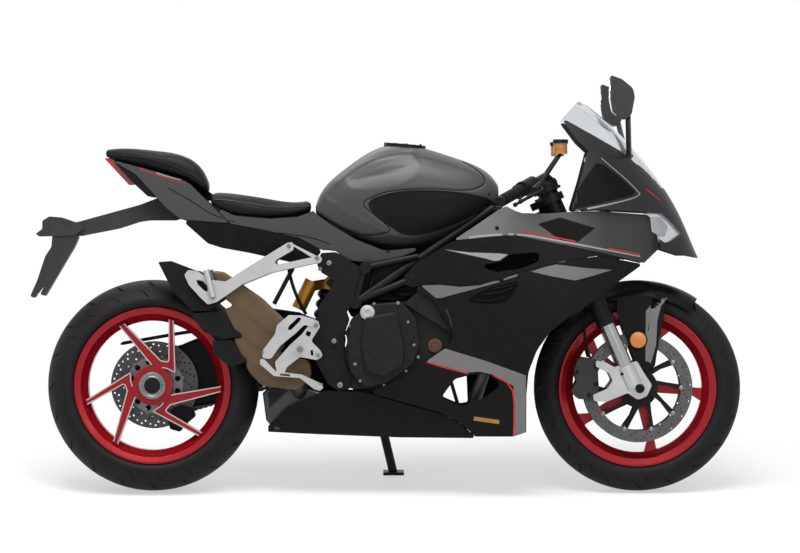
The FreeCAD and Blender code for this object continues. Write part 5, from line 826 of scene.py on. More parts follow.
def makeFrontDiscs():
    facts = frontDisc
    low, high = -facts["middle"] - facts["wall"] / 2, -facts["middle"] + facts["wall"] / 2
    rings, carriers, bobbins = bmesh.new(), bmesh.new(), bmesh.new()
    drilledRing(rings, bikeFront, low, high, facts["outer"], facts["inner"], facts["sectors"], facts["holes"])
    drilledRing(carriers, bikeFront, low, -facts["hubFace"], facts["hubOuter"], facts["hub"], facts["arms"],
                facts["hubHoles"])
    armLow = low + facts["armIn"]
    for i in range(facts["arms"]):
        angle = 2 * math.pi * i / facts["arms"]
        lean = math.pi / facts["arms"]
        corners = []
        for way, line in ((-1, facts["armLine"]), (1, facts["armLine"][::-1])):
            for radius, share, width in line:
                turn = angle + lean * share + way * width * facts["armWidth"] / 2 / radius
                corners.append(ringAt(bikeFront, radius, turn, 0)[::2])
        flatPlate(carriers, corners, armLow, armLow + facts["armWall"])
        place = ringAt(bikeFront, facts["inner"] + facts["bobbinOut"], angle + lean, high + facts["bobbinIn"])
        added(bobbins, bolt, place, (0, -1, 0), facts["bobbin"], facts["wall"] + facts["bobbinProud"], False)
    addPiece("frontDiscRings", rings, "discSteel", "front_wheel", "steel", ["front_discs"], both=True)
    addPiece("frontDiscCarriers", carriers, "blackMetal", "front_wheel", "black_metal", both=True)
    addPiece("frontDiscBobbins", bobbins, "steel", "front_wheel", "steel", both=True)


def makeRearDisc():
    facts = rearDisc
    low, high = facts["middle"] - facts["wall"] / 2, facts["middle"] + facts["wall"] / 2
    ring, carrier = bmesh.new(), bmesh.new()
    drilledRing(ring, bikeRear, low, high, facts["outer"], facts["inner"], facts["sectors"], facts["holes"])
    drilledRing(carrier, bikeRear, low + facts["carrier"][0], low + facts["carrier"][1],
                facts["inner"] + facts["overlap"], facts["carrierInner"], facts["sides"], facts["carrierHoles"])
    drilledRing(carrier, bikeRear, facts["hubFace"], high, facts["hubOuter"], facts["hub"], facts["bolts"],
                facts["hubHoles"])
    for i in range(facts["bolts"]):
        turn = 2 * math.pi * i / facts["bolts"] + facts["boltTurn"]
        place = ringAt(bikeRear, facts["boltRing"], turn, low + facts["boltIn"])
        added(carrier, bolt, place, (0, -1, 0), *facts["bolt"])
    addPiece("rearDiscRing", ring, "discSteel", "rear_wheel", "steel", ["rear_disc"])
    addPiece("rearDiscCarrier", carrier, "steel", "rear_wheel", "steel")


makeFrontDiscs()
makeRearDisc()
print("stage: brake discs")

# The machined edges of the rear wheel's forked spokes, on the rim's flat outer face
spokeEdges = {"plane": -0.058, "within": 0.0015, "facing": -0.99, "rim": 0.2, "near": 0.0615, "far": 0.186,
              "width": 0.0034, "lift": 0.0003, "wall": 0.0006, "flat": 0.03}


def makeSpokeEdges():
    facts = spokeEdges

    def fromAxle(centre):
        return math.hypot(centre.x - bikeRear.x, centre.z - bikeRear.z)

    def onFace(face):
        centre = face.calc_center_median()
        level = abs(centre.y - facts["plane"]) < facts["within"]
        return level and face.normal.y < facts["facing"] and fromAxle(centre) < facts["rim"]

    bm = cadCopy("rear_rim")
    bmesh.ops.remove_doubles(bm, verts=bm.verts, dist=merge["usual"])
    bm.normal_update()
    bmesh.ops.delete(bm, geom=[face for face in bm.faces if not onFace(face)], context="FACES")
    bmesh.ops.dissolve_limit(bm, angle_limit=facts["flat"], verts=bm.verts, edges=bm.edges)
    made = bmesh.ops.inset_region(bm, faces=bm.faces[:], thickness=facts["width"], use_even_offset=True,
                                  use_boundary=True)
    keep = {face for face in made["faces"] if facts["near"] < fromAxle(face.calc_center_median()) < facts["far"]}
    bmesh.ops.delete(bm, geom=[face for face in bm.faces if face not in keep], context="FACES")
    bmesh.ops.translate(bm, verts=bm.verts, vec=(0, -facts["lift"], 0))
    bmesh.ops.solidify(bm, geom=bm.faces[:], thickness=-facts["wall"])
    addPiece("rearSpokeEdges", bm, "machined", "rear_wheel", "alloy")


makeSpokeEdges()
print("stage: spoke edges")


def segmentDistance(points, line):
    # how far each (across, down) point is from a line of points
    best = np.full(len(points), 1e9)
    for a, b in line:
        a, b = np.array(a), np.array(b)
        along = b - a
        t = np.clip(((points - a) @ along) / max(along @ along, 1e-9), 0, 1)
        best = np.minimum(best, np.linalg.norm(points - a - t[:, None] * along, axis=1))
    return best


def insideOf(points, edges):
    inside = np.zeros(len(points), bool)
    for a, b in edges:
        crosses = (a[1] > points[:, 1]) != (b[1] > points[:, 1])
        inside ^= crosses & (points[:, 0] < (b[0] - a[0]) * (points[:, 1] - a[1]) / ((b[1] - a[1]) or 1e-9) + a[0])
    return inside


def reliefAt(points, reliefs):
    # metres outwards at each point: raised lines, and fields with a soft edge
    total = np.zeros(len(points))
    for kind, line, width, height in reliefs:
        if kind == "line":
            away = segmentDistance(points, pairsOf(eased(line), False))
            total += height * np.exp(-(away / width) ** 2)
        else:
            edges = pairsOf(eased(line, 2, True))
            away = segmentDistance(points, edges)
            away[~insideOf(points, edges)] *= -1
            total += height * np.clip(away / width * 0.5 + 0.5, 0, 1)
    return total


def seenAt(points):
    # photo pixels of places in the bike's frame, each side seen as the right one is
    shrink = 1 - np.abs(points[:, 1]) / cameraAway
    across = (points[:, 0] / scale - photo["centreAcross"] + photo["middleAcross"]) / shrink
    down = (photo["groundDown"] - photo["centreDown"] - points[:, 2] / scale) / shrink
    return np.stack([photo["centreAcross"] + across, photo["centreDown"] + down], axis=1)


def evaluated(bm, prepare):
    # what comes out of the modifiers that prepare gives to a scratch object
    mesh = bpy.data.meshes.new("scratch")
    bm.to_mesh(mesh)
    bm.free()
    holder = linked("scratch", mesh)
    prepare(holder)
    made = bpy.data.meshes.new_from_object(holder.evaluated_get(bpy.context.evaluated_depsgraph_get()))
    bpy.data.objects.remove(holder)
    bpy.data.meshes.remove(mesh)
    out = bmesh.new()
    out.from_mesh(made)
    bpy.data.meshes.remove(made)
    return out


def softened(bm, times):
    for _ in range(times):
        bmesh.ops.smooth_vert(bm, verts=bm.verts, factor=0.5, use_axis_x=True, use_axis_y=True, use_axis_z=True)
    return bm


def remeshed(node, voxel, smooth):
    # a merged copy of a CAD node as an even net of small faces, in the bike's frame
    def addNet(holder):
        net = holder.modifiers.new("net", "REMESH")
        net.mode = "VOXEL"
        net.voxel_size = voxel
        bpy.context.view_layer.update()

    bm = bmesh.new()
    bm.from_mesh(nodes[node].data)
    bmesh.ops.remove_doubles(bm, verts=bm.verts, dist=merge["usual"])
    bm.transform(toBikeMatrix)
    return softened(evaluated(bm, addNet), smooth)


def shaped(bm, reliefs, sides=0.35):
    # pushes the net in and out along its normals, less where it faces up or down than where it faces sideways
    bm.normal_update()
    order = list(bm.verts)
    places = np.array([v.co[:] for v in order])
    normals = np.array([v.normal[:] for v in order])
    heights = reliefAt(seenAt(places), reliefs) * np.clip(np.abs(normals[:, 1]) / sides, 0, 1)
    for v, place in zip(order, places + normals * heights[:, None]):
        v.co = place


# The tank: a scooped shoulder, a sunk knee panel and the seams between its covers
tank = {"voxel": 0.0036, "smooth": 3,
        "knee": [(361, 203), (391, 228), (408, 237.5), (440, 231), (478, 214), (498, 202), (470, 193), (430, 189.5),
                 (392, 191.5)],
        "scoop": [(349, 181.5), (362, 170.5), (385, 163), (408, 158.5), (413, 166), (405, 175), (390, 180),
                  (370, 183)],
        "lip": [(338, 183), (350, 175), (363, 165.5), (386, 157.5), (412, 153.5)],
        "frontLip": [(424, 158), (440, 161), (460, 168), (480, 176)],
        "seam": [(311, 210), (330, 222), (358, 236), (374, 235.5), (388, 233), (391, 228), (375, 216), (360, 203.5),
                 (374, 196), (390, 190.5), (430, 188), (470, 191.5), (487, 184), (481, 172), (460, 160)],
        "crease": [(322, 196), (345, 212), (372, 226), (395, 236)], "seamWidth": 0.75,
        "reliefs": [("field", "knee", 1.6, -0.0032), ("field", "scoop", 7.0, -0.0070), ("line", "lip", 3.2, 0.0030),
                    ("line", "frontLip", 3.5, 0.0022), ("line", "crease", 3.0, 0.0016),
                    ("line", "seam", 1.1, -0.0022)]}


def makeTank():
    bm = remeshed("fuel_tank", tank["voxel"], tank["smooth"])
    shaped(bm, [(kind, tank[line], width, height) for kind, line, width, height in tank["reliefs"]])
    bmesh.ops.recalc_face_normals(bm, faces=bm.faces)
    tree = BVHTree.FromBMesh(bm)
    addPiece("tankShell", bm, "satinGrey", "chassis", "grey_satin", ["fuel_tank"])
    decals("tankSeams", [{"line": tank["seam"], "width": tank["seamWidth"]}], tree, "gapBlack", "chassis",
           "black_plastic", lift=0.00015, step=0.006)
    decals("tankKneePanels", [eased(tank["knee"], 2, True)], tree, "kneeGrip", "chassis", "black_plastic",
           wall=0.0006, step=0.006)


makeTank()
print("stage: tank")

# The mufflers: four flattened chambers pressed from sheet, domed and creased
mufflers = {"voxel": 0.0032, "smooth": 12, "crease": 60.0}
addPiece("mufflerShells", remeshed("silencers", mufflers["voxel"], mufflers["smooth"]), "bronze", "chassis", "bronze",
         ["silencers"], mufflers["crease"])
print("stage: mufflers")

# Seats: padded tops under tension, their covers sewn round the edge
seats = {"rider": {"node": "rider_seat", "voxel": 0.0055, "limit": 0.007,
                   "piping": [(214, 199.5), (225, 200), (245, 203), (270, 207.5), (290, 208), (309, 206)]},
         "passenger": {"node": "passenger_seat", "voxel": 0.0050, "limit": 0.006,
                       "piping": [(110, 154.5), (125, 155), (150, 158), (175, 166), (195, 176), (206, 185)]}}
seatCloth = {"smooth": 2, "frames": 12, "quality": 4, "mass": 0.3, "pressure": 3.0, "bed": 0.55, "riseShare": 0.5,
             "crease": 60.0, "piping": 0.7}


def puffed(bm, limit):
    # a short cloth run swells the pad; no point goes further than the limit, or half of it upwards
    softened(bm, 1)
    bm.verts.ensure_lookup_table()
    start = np.array([v.co[:] for v in bm.verts])

    def addCloth(pad):
        low, high = start[:, 2].min(), start[:, 2].max()
        group = pad.vertex_groups.new(name="bed")
        for i, place in enumerate(start):
            held = 1.0 - (place[2] - low) / (seatCloth["bed"] * (high - low))
            group.add([i], float(np.clip(held, 0, 1)), "REPLACE")
        cloth = pad.modifiers.new("cloth", "CLOTH")
        cloth.settings.quality = seatCloth["quality"]
        cloth.settings.mass = seatCloth["mass"]
        cloth.settings.use_pressure = True
        cloth.settings.uniform_pressure_force = seatCloth["pressure"]
        cloth.settings.effector_weights.gravity = 0
        cloth.settings.vertex_group_mass = "bed"
        cloth.settings.pin_stiffness = 1.0
        cloth.point_cache.frame_start = 1
        cloth.point_cache.frame_end = seatCloth["frames"]
        for i in range(1, seatCloth["frames"] + 1):
            bpy.context.scene.frame_set(i)

    bm = evaluated(bm, addCloth)
    bpy.context.scene.frame_set(1)
    shift = np.array([v.co[:] for v in bm.verts]) - start
    length = np.linalg.norm(shift, axis=1)[:, None]
    shift *= np.minimum(1, limit / np.maximum(length, 1e-9))
    shift[:, 2] = np.minimum(shift[:, 2], limit * seatCloth["riseShare"])
    for v, place in zip(bm.verts, start + shift):
        v.co = place
    return bm


def makeSeat(name, facts):
    bm = remeshed(facts["node"], facts["voxel"], seatCloth["smooth"])
    bm = puffed(bm, facts["limit"])
    tree = BVHTree.FromBMesh(bm)
    piece = addPiece(name + "SeatPad", bm, "seatCover", "chassis", "seat", [facts["node"]], seatCloth["crease"])
    decals(name + "SeatPiping", [{"line": facts["piping"], "width": seatCloth["piping"]}], tree, "seatPiping",
           "chassis", "seat", lift=0.0008, wall=0.0016, step=0.006)


for name, facts in seats.items():
    makeSeat(name, facts)
print("stage: seats")

# Paint and trim on the right side as the photograph has them, and the same on the left, with painted highlights on
# silver pieces and painted shade in a dark one, as marked
bodySkin = cadTree("lower_fairings", "upper_fairings", "nose_panels", "belly_pan")
graphics = {
    "stripeGrey": [[(426, 361.5), (445, 348.5), (486, 361), (526, 375.5), (525.5, 432), (513.5, 435.5), (513.5, 386),
                    (493, 374.5), (479, 371.6), (467, 372.6)]],
    "stripeRed": [{"line": [(425, 361.5), (446, 368), (468, 373.5)], "width": 1.3, "times": 1},
                  {"line": [(493, 375), (512, 385), (515, 408), (513.5, 436)], "width": 1.5, "times": 1},
                  {"line": [(520, 231.6), (545, 235.6), (576, 241.6)], "width": 1.2, "times": 1},
                  {"line": [(608, 248.2), (625, 251.4), (640, 254.6)], "width": 1.0, "times": 1},
                  {"line": [(646, 189.5), (653, 195), (660, 201)], "width": 0.9, "times": 1}],
    # silver trim; the first strip, along the upper panel's lower edge, is partly that edge's painted highlight
    "stripeSilver": [{"line": [(462, 238.6), (486, 235.4), (512, 234), (530, 235.6), (560, 241.2), (600, 248.6),
                               (640, 256.5)], "width": 2.4, "endWidth": 1.4},
                     {"line": [(571, 212), (600, 206.5), (634, 198.5), (640, 194)], "width": 2.0, "endWidth": 1.0},
                     {"line": [(640, 194), (628, 181), (612, 167.5), (601, 158)], "width": 1.0, "endWidth": 0.8},
                     # painted highlight: the lit upward face of the ledge in the middle fairing
                     [(444, 249.5), (470, 252.5), (500, 253.5), (508, 254.6), (499.5, 260.4), (494, 261), (486, 258.6),
                      (462, 253.5)]],
    "panelSilver": [[(531, 271.5), (545, 267), (556, 264.5), (585, 268), (612, 270), (594, 275.5), (575, 280.5),
                     (550, 276)],
                    [(421, 285.6), (440, 284.8), (460, 287), (480, 285.4), (500, 279.4), (518, 274), (517, 276.3),
                     (490, 284.8), (462, 292.3), (441, 298), (436, 298), (428, 291.5)]],
    # the upper panel's recessed intake: a dark insert with the shade of its recess painted in
    "blackPanelAndRecessShade": [[(538, 224), (560, 217.5), (595, 228), (577, 242.5), (560, 240)],
                   [(583, 181), (596, 163), (604, 165), (622, 179), (635, 191.5), (632, 195.5), (600, 203.5),
                    (574, 209), (570, 205), (577, 192)]],
    "plateBronze": [[(474, 416.5), (499.5, 420), (499, 424), (473.5, 420.5)]],
}
graphicLift = {"stripeRed": 0.0009, "stripeSilver": 0.0006}
for name, outlines in graphics.items():
    decals(name + "Trim", outlines, bodySkin, name, "chassis", "grey_satin" if "ilver" in name else "black_satin",
           graphicLift.get(name, 0.0004))
print("stage: painted trim")


def surfaceAt(across, down, tree, missing=-0.12):
    hit = castAt(px(across, down), tree)[0]
    return hit if hit is not None else px(across, down, missing)


# Bolts and caps on what they hold: (across, down, radius in mm, height in mm)
fasteners = {
    "engineBolts": {"on": ("engine_covers", "engine", "frame_side_plates"), "finish": "steel", "slot": "steel",
                    "body": "chassis",
                    "places": [(374, 304, 5, 5), (398, 303, 5.5, 5), (418, 357, 5.5, 6), (355, 364, 5, 5),
                               (350, 326, 4.5, 4), (408, 322, 4.5, 4), (414, 345, 4.5, 4), (406, 371, 4.5, 4),
                               (384, 385, 4.5, 4), (360, 381, 4.5, 4), (340, 385, 9, 8), (329, 263, 8, 6),
                               (320, 269, 6, 5), (334, 341, 8, 6)]},
    "rearsetBolts": {"on": ("rearsets", "passenger_hangers", "foot_pegs"), "finish": "steel", "slot": "steel",
                     "body": "chassis",
                     "places": [(300, 349, 10, 6), (316, 325, 7, 5), (318, 355, 7, 5), (289, 246, 7, 5),
                                (317, 258, 7, 5), (213, 297, 7, 5), (263, 352, 4, 4), (321, 385, 6, 5)]},
    "fairingScrews": {"on": ("lower_fairings", "upper_fairings", "nose_panels", "tail_panels", "fuel_tank",
                             "belly_pan"),
                      "finish": "blackMetal", "slot": "black_metal", "body": "chassis",
                      "places": [(412, 278, 8, 3), (497, 228, 6, 3), (388, 251, 5, 2), (489, 194, 4, 2),
                                 (372, 404, 5, 2), (505, 425, 4, 2), (446, 330, 4, 2), (240, 232, 4, 2),
                                 (535, 260, 4, 2)]},
    "forkBolts": {"on": ("fork_feet", "front_calipers"), "finish": "blackMetal", "slot": "black_metal",
                  "body": "steering",
                  "places": [(640, 388.5, 14, 5), (614, 364, 5, 4), (622, 374, 5, 4), (577, 349, 6, 6),
                             (589, 395, 6, 5), (577, 372, 5, 5), (596, 384, 7, 3), (596, 366, 7, 3)]},
}
boltSunk = 0.001
for name, facts in fasteners.items():
    tree = cadTree(*facts["on"])
    bm = bmesh.new()
    for across, down, radius, height in facts["places"]:
        place = surfaceAt(across, down, tree) + Vector((0, boltSunk, 0))
        added(bm, bolt, place, (0, -1, 0), radius / 1000, height / 1000 + boltSunk)
    addPiece(name, bm, facts["finish"], facts["body"], facts["slot"], both=True)
print("stage: bolts")

# Round fittings: their sections as (radius, side out) corners from the middle of the face
fittings = {
    "oilCap": {"at": (367.5, 312.5), "on": ("engine_covers", "engine"), "steps": 40, "both": False, "closed": False,
               "profile": [(0.0, 0.004), (0.006, 0.004), (0.007, 0.007), (0.013, 0.0075), (0.0145, 0.006),
                           (0.019, 0.0055), (0.0215, 0.003), (0.0215, -0.002)],
               "wears": ("alloy", "chassis", "alloy")},
    "copperCap": {"at": (435, 345.5), "on": ("engine", "engine_covers", "lower_fairings"), "steps": 40, "both": False,
                  "closed": False,
                  "profile": [(0.0, 0.004), (0.011, 0.004), (0.012, 0.007), (0.020, 0.0065), (0.0215, 0.004),
                              (0.0215, -0.002)],
                  "wears": ("copper", "chassis", "bronze")},
}


def makeFitting(name, facts):
    here = surfaceAt(*facts["at"], cadTree(*facts["on"]))
    profile = [(here.y - out, radius) for radius, out in facts["profile"]]
    bm = bmesh.new()
    spun(bm, profile, Vector((here.x, 0, here.z)), facts["steps"], facts["closed"])
    settled(bm)
    addPiece(name, bm, *facts["wears"], both=facts["both"])


for name, facts in fittings.items():
    makeFitting(name, facts)
print("stage: fittings")

# Painted shade: dark sheets behind gaps and vents, between the panels and the frame, stand in for the shade inside the
# bike; the last is the black duct behind the header: two places across the bike and an outline
shadeSheetsAndDuct = [
    (-0.052, -0.056, [(330, 256), (352, 250), (380, 243), (430, 240), (470, 218), (500, 212), (530, 232), (545, 252),
                      (543, 276), (512, 300), (470, 318), (440, 345), (408, 330), (380, 308), (352, 318), (342, 300)]),
                      (-0.052, -0.056, [(300, 356), (346, 350), (350, 372), (347, 391), (318, 397), (304, 386)]),
                      (-0.04, -0.045, [(118, 157), (150, 163), (176, 171), (198, 184), (212, 194), (214, 200),
                                       (204, 201), (182, 189), (150, 175), (128, 166)]),
                                       (-0.001, -0.005, [(466, 364), (508, 366), (512, 392), (488, 410), (468, 410)]),
]
shadeSheetEdge = {"corner": 4, "bevel": 0.001}


def makeShadeSheetsAndDuct():
    bm = bmesh.new()
    for near, far, outline in shadeSheetsAndDuct:
        added(bm, slab, outline, near, far, shadeSheetEdge["corner"], shadeSheetEdge["bevel"])
    addPiece("innerShadeSheetsAndDuct", bm, "gapBlack", "chassis", "black_plastic", both=True)


makeShadeSheetsAndDuct()

# The air duct let into the lower fairing behind the header, its mouth filled with painted shade, and the vents' inner
# lips
intake = {
    "intakeLip": [{"width": 1.0, "closed": True, "times": 2,
                   "line": [(466, 303), (480, 304.5), (496, 305), (506, 303), (514, 295), (519, 285), (520.5, 280),
                            (505, 283), (488, 287.5), (478, 292), (468, 298)]}],
    "intakeSlats": [{"width": 1.1, "line": [(474, 300), (490, 301), (505, 297)]},
                    {"width": 1.1, "line": [(482, 294), (498, 293), (512, 288)]},
                    {"width": 1.1, "line": [(492, 289), (506, 286), (517, 283)]}],
    "ventLips": [{"width": 1.5, "closed": True, "times": 1,
                  "line": [(478, 266), (500, 262), (512, 254), (540, 252), (538, 262), (520, 269), (496, 272)]},
                 {"width": 1.5, "closed": True, "times": 1,
                  "line": [(441, 398), (455, 379), (478, 373), (492, 376), (502, 385), (484, 398), (462, 407)]}],
    "fairingLip": [{"width": 1.6, "endWidth": 0.6, "line": [(446, 309), (451, 320), (452, 334), (448, 344)]}],
}
intakeWays = {"intakeMouthShade": ("gapBlack", "black_plastic", 0.0003, 0.0003),
              "intakeSlats": ("blackPlastic", "black_plastic", 0.0012, 0.0012),
              "ventLips": ("blackPlastic", "black_plastic", 0.0008, 0.0010),
              "intakeLip": ("blackMetal", "black_plastic", 0.0006, 0.0010),
              "fairingLip": ("shellGrey", "black_satin", 0.0008, 0.0010)}
# painted shade: the duct's mouth is a dark patch laid on the fairing, not an opening
intake["intakeMouthShade"] = [eased(intake["intakeLip"][0]["line"], 2, True)]
for name, (finish, slotName, lift, wall) in intakeWays.items():
    decals(name, intake[name], bodySkin, finish, "chassis", slotName, lift, wall)
print("stage: liners and vents")

# Fender struts' pale covers and the round reflectors on them
fenderTrim = {"strut": [(646, 311), (654, 301), (668, 297.5), (661, 306), (657.5, 320), (656, 345), (651, 363),
                        (645.5, 361), (645.5, 340)],
              "reflector": (638, 340), "radius": 0.0245, "collar": 0.0275}
decals("fenderStruts", [fenderTrim["strut"]], cadTree("front_fender"), "stripeGrey", "steering", "grey_satin",
       wall=0.0010)
collar, lens = fenderTrim["collar"], fenderTrim["radius"]
reflector = {"at": fenderTrim["reflector"], "on": ("front_fender",), "steps": 36, "both": True}
makeFitting("reflectorCollars", {**reflector, "closed": True, "wears": ("blackPlastic", "steering", "black_plastic"),
                                 "profile": [(collar, 0.0), (collar, 0.006), (lens, 0.0085), (lens, 0.0)]})
makeFitting("reflectorLenses", {**reflector, "closed": False, "wears": ("reflectorOrange", "steering", "amber"),
                                "profile": [(0.0, 0.002), (lens, 0.002), (lens, 0.0070), (lens - 0.002, 0.0090),
                                            (0.012, 0.0102), (0.0, 0.0106)]})
print("stage: fender trim")

# Black screw caps on the fluid reservoirs, above their amber bodies
reservoirCap = {"height": 0.011, "proud": 0.0006, "slice": 0.002, "sides": 40, "top": 0.98, "edge": 0.0012}


def makeReservoirCaps():
    facts = reservoirCap
    bm = bmesh.new()
    corners = cadCorners("reservoirs")
    for way in (-1, 1):
        side = corners[corners[:, 1] * way > 0]
        high = side[:, 2].max()
        top = side[side[:, 2] > high - facts["slice"]]
        x, y, _ = (top.min(axis=0) + top.max(axis=0)) / 2
        radius = (top[:, 0].max() - top[:, 0].min()) / 2 + facts["proud"]
        added(bm, peg, (x, y, high + facts["proud"] - facts["height"]), (0, 0, 1), radius, facts["height"],
              facts["sides"], facts["top"], facts["edge"])
    addPiece("reservoirCaps", bm, "blackPlastic", "steering", "black_plastic")


makeReservoirCaps()

# Mirror glass and the instrument's display: crowned patches laid on what faces the rider
faces = {
    "mirrorGlass": {"on": "mirrors", "least": 0.360, "shell": 0.100, "look": (1, 0, 0), "share": 0.41,
                    "finish": "mirrorGlass", "slot": "chrome"},
    "instrumentDisplay": {"on": "instrument_cluster", "least": 0.0, "shell": 0.0, "look": (1, 0, -0.45),
                          "share": 0.40, "finish": "displayGlass", "slot": "lens"},
}
facePatch = {"lift": 0.0006, "wall": 0.0010, "cells": 12, "square": 0.55, "reach": 0.3}


def makePatch(bm, way, facts, tree, corners):
    look = Vector(facts["look"]).normalized()
    across = Vector((0, 1, 0))
    up = look.cross(across).normalized()
    held = corners[corners[:, 1] * way > facts["least"]] if way else corners
    middle = Vector((held.min(axis=0) + held.max(axis=0)) / 2)
    far = np.abs(held[:, 1]).max()
    wide = (facts["shell"] or 2 * far) * facts["share"]
    middle.y = way * (far - facts["shell"] / 2)
    rise = held @ np.array(up)
    tall = (rise.max() - rise.min()) * facts["share"]
    middle += up * ((rise.max() + rise.min()) / 2 - middle.dot(up))
    bmesh.ops.create_grid(bm, x_segments=facePatch["cells"], y_segments=facePatch["cells"], size=1.0)
    missed = []
    for v in bm.verts:
        u, w = v.co.x, v.co.y
        ease = facePatch["square"] / 2
        start = middle + across * u * (1 - ease * w * w) * wide + up * w * (1 - ease * u * u) * tall
        hit = tree.ray_cast(start - look * facePatch["reach"], look, 2 * facePatch["reach"])[0]
        if hit is None:
            missed.append(v)
        else:
            v.co = hit - look * facePatch["lift"]
    bmesh.ops.delete(bm, geom=missed, context="VERTS")
    bm.normal_update()
    bmesh.ops.reverse_faces(bm, faces=[face for face in bm.faces if face.normal.dot(look) > 0])
    bmesh.ops.solidify(bm, geom=bm.faces[:], thickness=-facePatch["wall"])


for name, facts in faces.items():
    bm = bmesh.new()
    for way in ((1, -1) if facts["least"] else (0,)):
        added(bm, makePatch, way, facts, cadTree(facts["on"]), cadCorners(facts["on"]))
    addPiece(name, bm, facts["finish"], "chassis", facts["slot"])

# Rear wheel nut: a fluted ring round a dark hollow, as (side out, radius) corners from the spindle's face
rearNut = {"look": (0.033, 0.5), "fluteRing": 0.0355, "flutes": 12, "flute": (0.0030, 0.0022, 10, 0.8),
           "fluteOut": 0.0025, "steps": (48, 40),
           "ring": [(-0.004, 0.039), (0.001, 0.040), (0.003, 0.038), (0.003, 0.031), (0.0015, 0.029), (0.003, 0.027),
                    (0.003, 0.024), (-0.004, 0.024)],
           "hollow": [(0.0006, 0.0), (0.0006, 0.012), (0.0022, 0.013), (0.0022, 0.016), (0.0006, 0.017),
                      (0.0006, 0.0245), (-0.002, 0.0245)]}


def makeRearNut():
    facts = rearNut
    ahead, away = facts["look"]
    start = Vector((bikeRear.x + ahead, -away, bikeRear.z))
    side = cadTree("rear_spindle").ray_cast(start, Vector((0, 1, 0)), away)[0].y
    bm = bmesh.new()
    spun(bm, [(side - out, radius) for out, radius in facts["ring"]], bikeRear, facts["steps"][0])
    for i in range(facts["flutes"]):
        turn = 2 * math.pi * i / facts["flutes"]
        place = ringAt(bikeRear, facts["fluteRing"], turn, side - facts["fluteOut"])
        added(bm, peg, place, (0, -1, 0), *facts["flute"])
    settled(bm)
    addPiece("rearNutRing", bm, "steel", "rear_wheel", "steel")
    bm = bmesh.new()
    spun(bm, [(side - out, radius) for out, radius in facts["hollow"]], bikeRear, facts["steps"][1], False)
    settled(bm)
    addPiece("rearNutHollow", bm, "engineGrey", "rear_wheel", "black_metal")


makeRearNut()
print("stage: caps, mirror glass and wheel nut")

# Chain: plates and rollers carried round both sprockets, over the sprocket hub that the CAD node also holds
driveChain = {"pitch": 0.015875, "teeth": (41, 16), "front": (362.0, 345.0), "side": 0.158, "plate": 0.0068,
              "outer": 0.0062, "inner": 0.0042, "wall": 0.0016, "pin": 0.0026, "roller": 0.00508, "proud": 0.0006,
              "shaft": 0.018, "cover": 0.0335, "coverHalf": 0.004, "nut": 0.021, "nutHalf": 0.012, "nutEdge": 0.0015,
              "arcSteps": 60, "runSteps": 20, "pinSides": 8, "rollerSides": 10, "coverSteps": 32, "nutSides": 24,
              "link": [(0, -0.8, -0.62), (0, 0, -1), (0.5, 0, -0.6765), (1, 0, -1), (1, 0.8, -0.62), (1, 0.8, 0.62),
                       (1, 0, 1), (0.5, 0, 0.6765), (0, 0, 1), (0, -0.8, 0.62)]}


def chainPath():
    # the middle line of the loop, as places in the plane across the bike
    facts = driveChain
    big, small = (facts["pitch"] / (2 * math.sin(math.pi / teeth)) for teeth in facts["teeth"])
    rear = Vector((bikeRear.x, facts["side"], bikeRear.z))
    front = px(*facts["front"], facts["side"])
    along = front - rear
    tilt = math.atan2(along.z, along.x)
    lean = math.asin((big - small) / along.length)
    top, bottom = tilt + math.pi / 2 - lean, tilt - math.pi / 2 + lean

    def at(centre, radius, angle):
        return centre + Vector((math.cos(angle), 0, math.sin(angle))) * radius

    def arc(centre, radius, first, turn):
        return [at(centre, radius, first + turn * k / facts["arcSteps"]) for k in range(facts["arcSteps"])]

    def run(a, b):
        return [a + (b - a) * k / facts["runSteps"] for k in range(facts["runSteps"])]

    under = run(at(front, small, bottom), at(rear, big, bottom))
    over = run(at(rear, big, top), at(front, small, top))
    roundRear = arc(rear, big, bottom, top - bottom - 2 * math.pi)
    return arc(front, small, top, bottom - top) + under + roundRear + over, front


def makeChain():
    facts = driveChain
    points, front = chainPath()
    lengths = [0.0]
    for a, b in pairsOf(points):
        lengths.append(lengths[-1] + (b - a).length)
    count = 2 * round(lengths[-1] / facts["pitch"] / 2)
    places = [lengths[-1] * i / count for i in range(count)]
    xs, zs = (np.interp(places, lengths, [p[axis] for p in points + points[:1]]) for axis in (0, 2))
    joints = [Vector((x, facts["side"], z)) for x, z in zip(xs, zs)]
    plates, pins = bmesh.new(), bmesh.new()
    for i, (here, ahead) in enumerate(pairsOf(joints)):
        along = (ahead - here).normalized() * facts["plate"]
        up = Vector((-along.z, 0, along.x))
        outline = [here + (ahead - here) * t + along * past + up * rise for t, past, rise in facts["link"]]
        inside = facts["outer"] if i % 2 else facts["inner"]
        for way in (-1, 1):
            near = facts["side"] + way * inside
            flatPlate(plates, [(p.x, p.z) for p in outline], near, near + way * facts["wall"])
        half = facts["outer"] + facts["wall"] + facts["proud"]
        for radius, reach, sides in ((facts["pin"], half, facts["pinSides"]),
                                     (facts["roller"], facts["inner"], facts["rollerSides"])):
            peg(pins, here - Vector((0, reach, 0)), (0, 1, 0), radius, 2 * reach, sides)
    near, far = facts["side"] - facts["coverHalf"], facts["side"] + facts["coverHalf"]
    shaft, cover = facts["shaft"], facts["cover"]
    spun(pins, [(near, shaft), (near, cover), (far, cover), (far, shaft)], front, facts["coverSteps"])
    peg(pins, front - Vector((0, facts["nutHalf"], 0)), (0, 1, 0), facts["nut"], 2 * facts["nutHalf"],
        facts["nutSides"], 1.0, facts["nutEdge"])
    addPiece("chainPlates", plates, "chainSteel", "chassis", "steel", ["chain"])
    addPiece("chainRollers", pins, "darkSteel", "chassis", "steel")


makeChain()

# Bolts round the sprocket, seen from the left
sprocketBolts = {"count": 6, "radius": 0.050, "bolt": (0.0055, 0.006), "turn": 0.52, "sunk": 0.001, "from": 0.4}


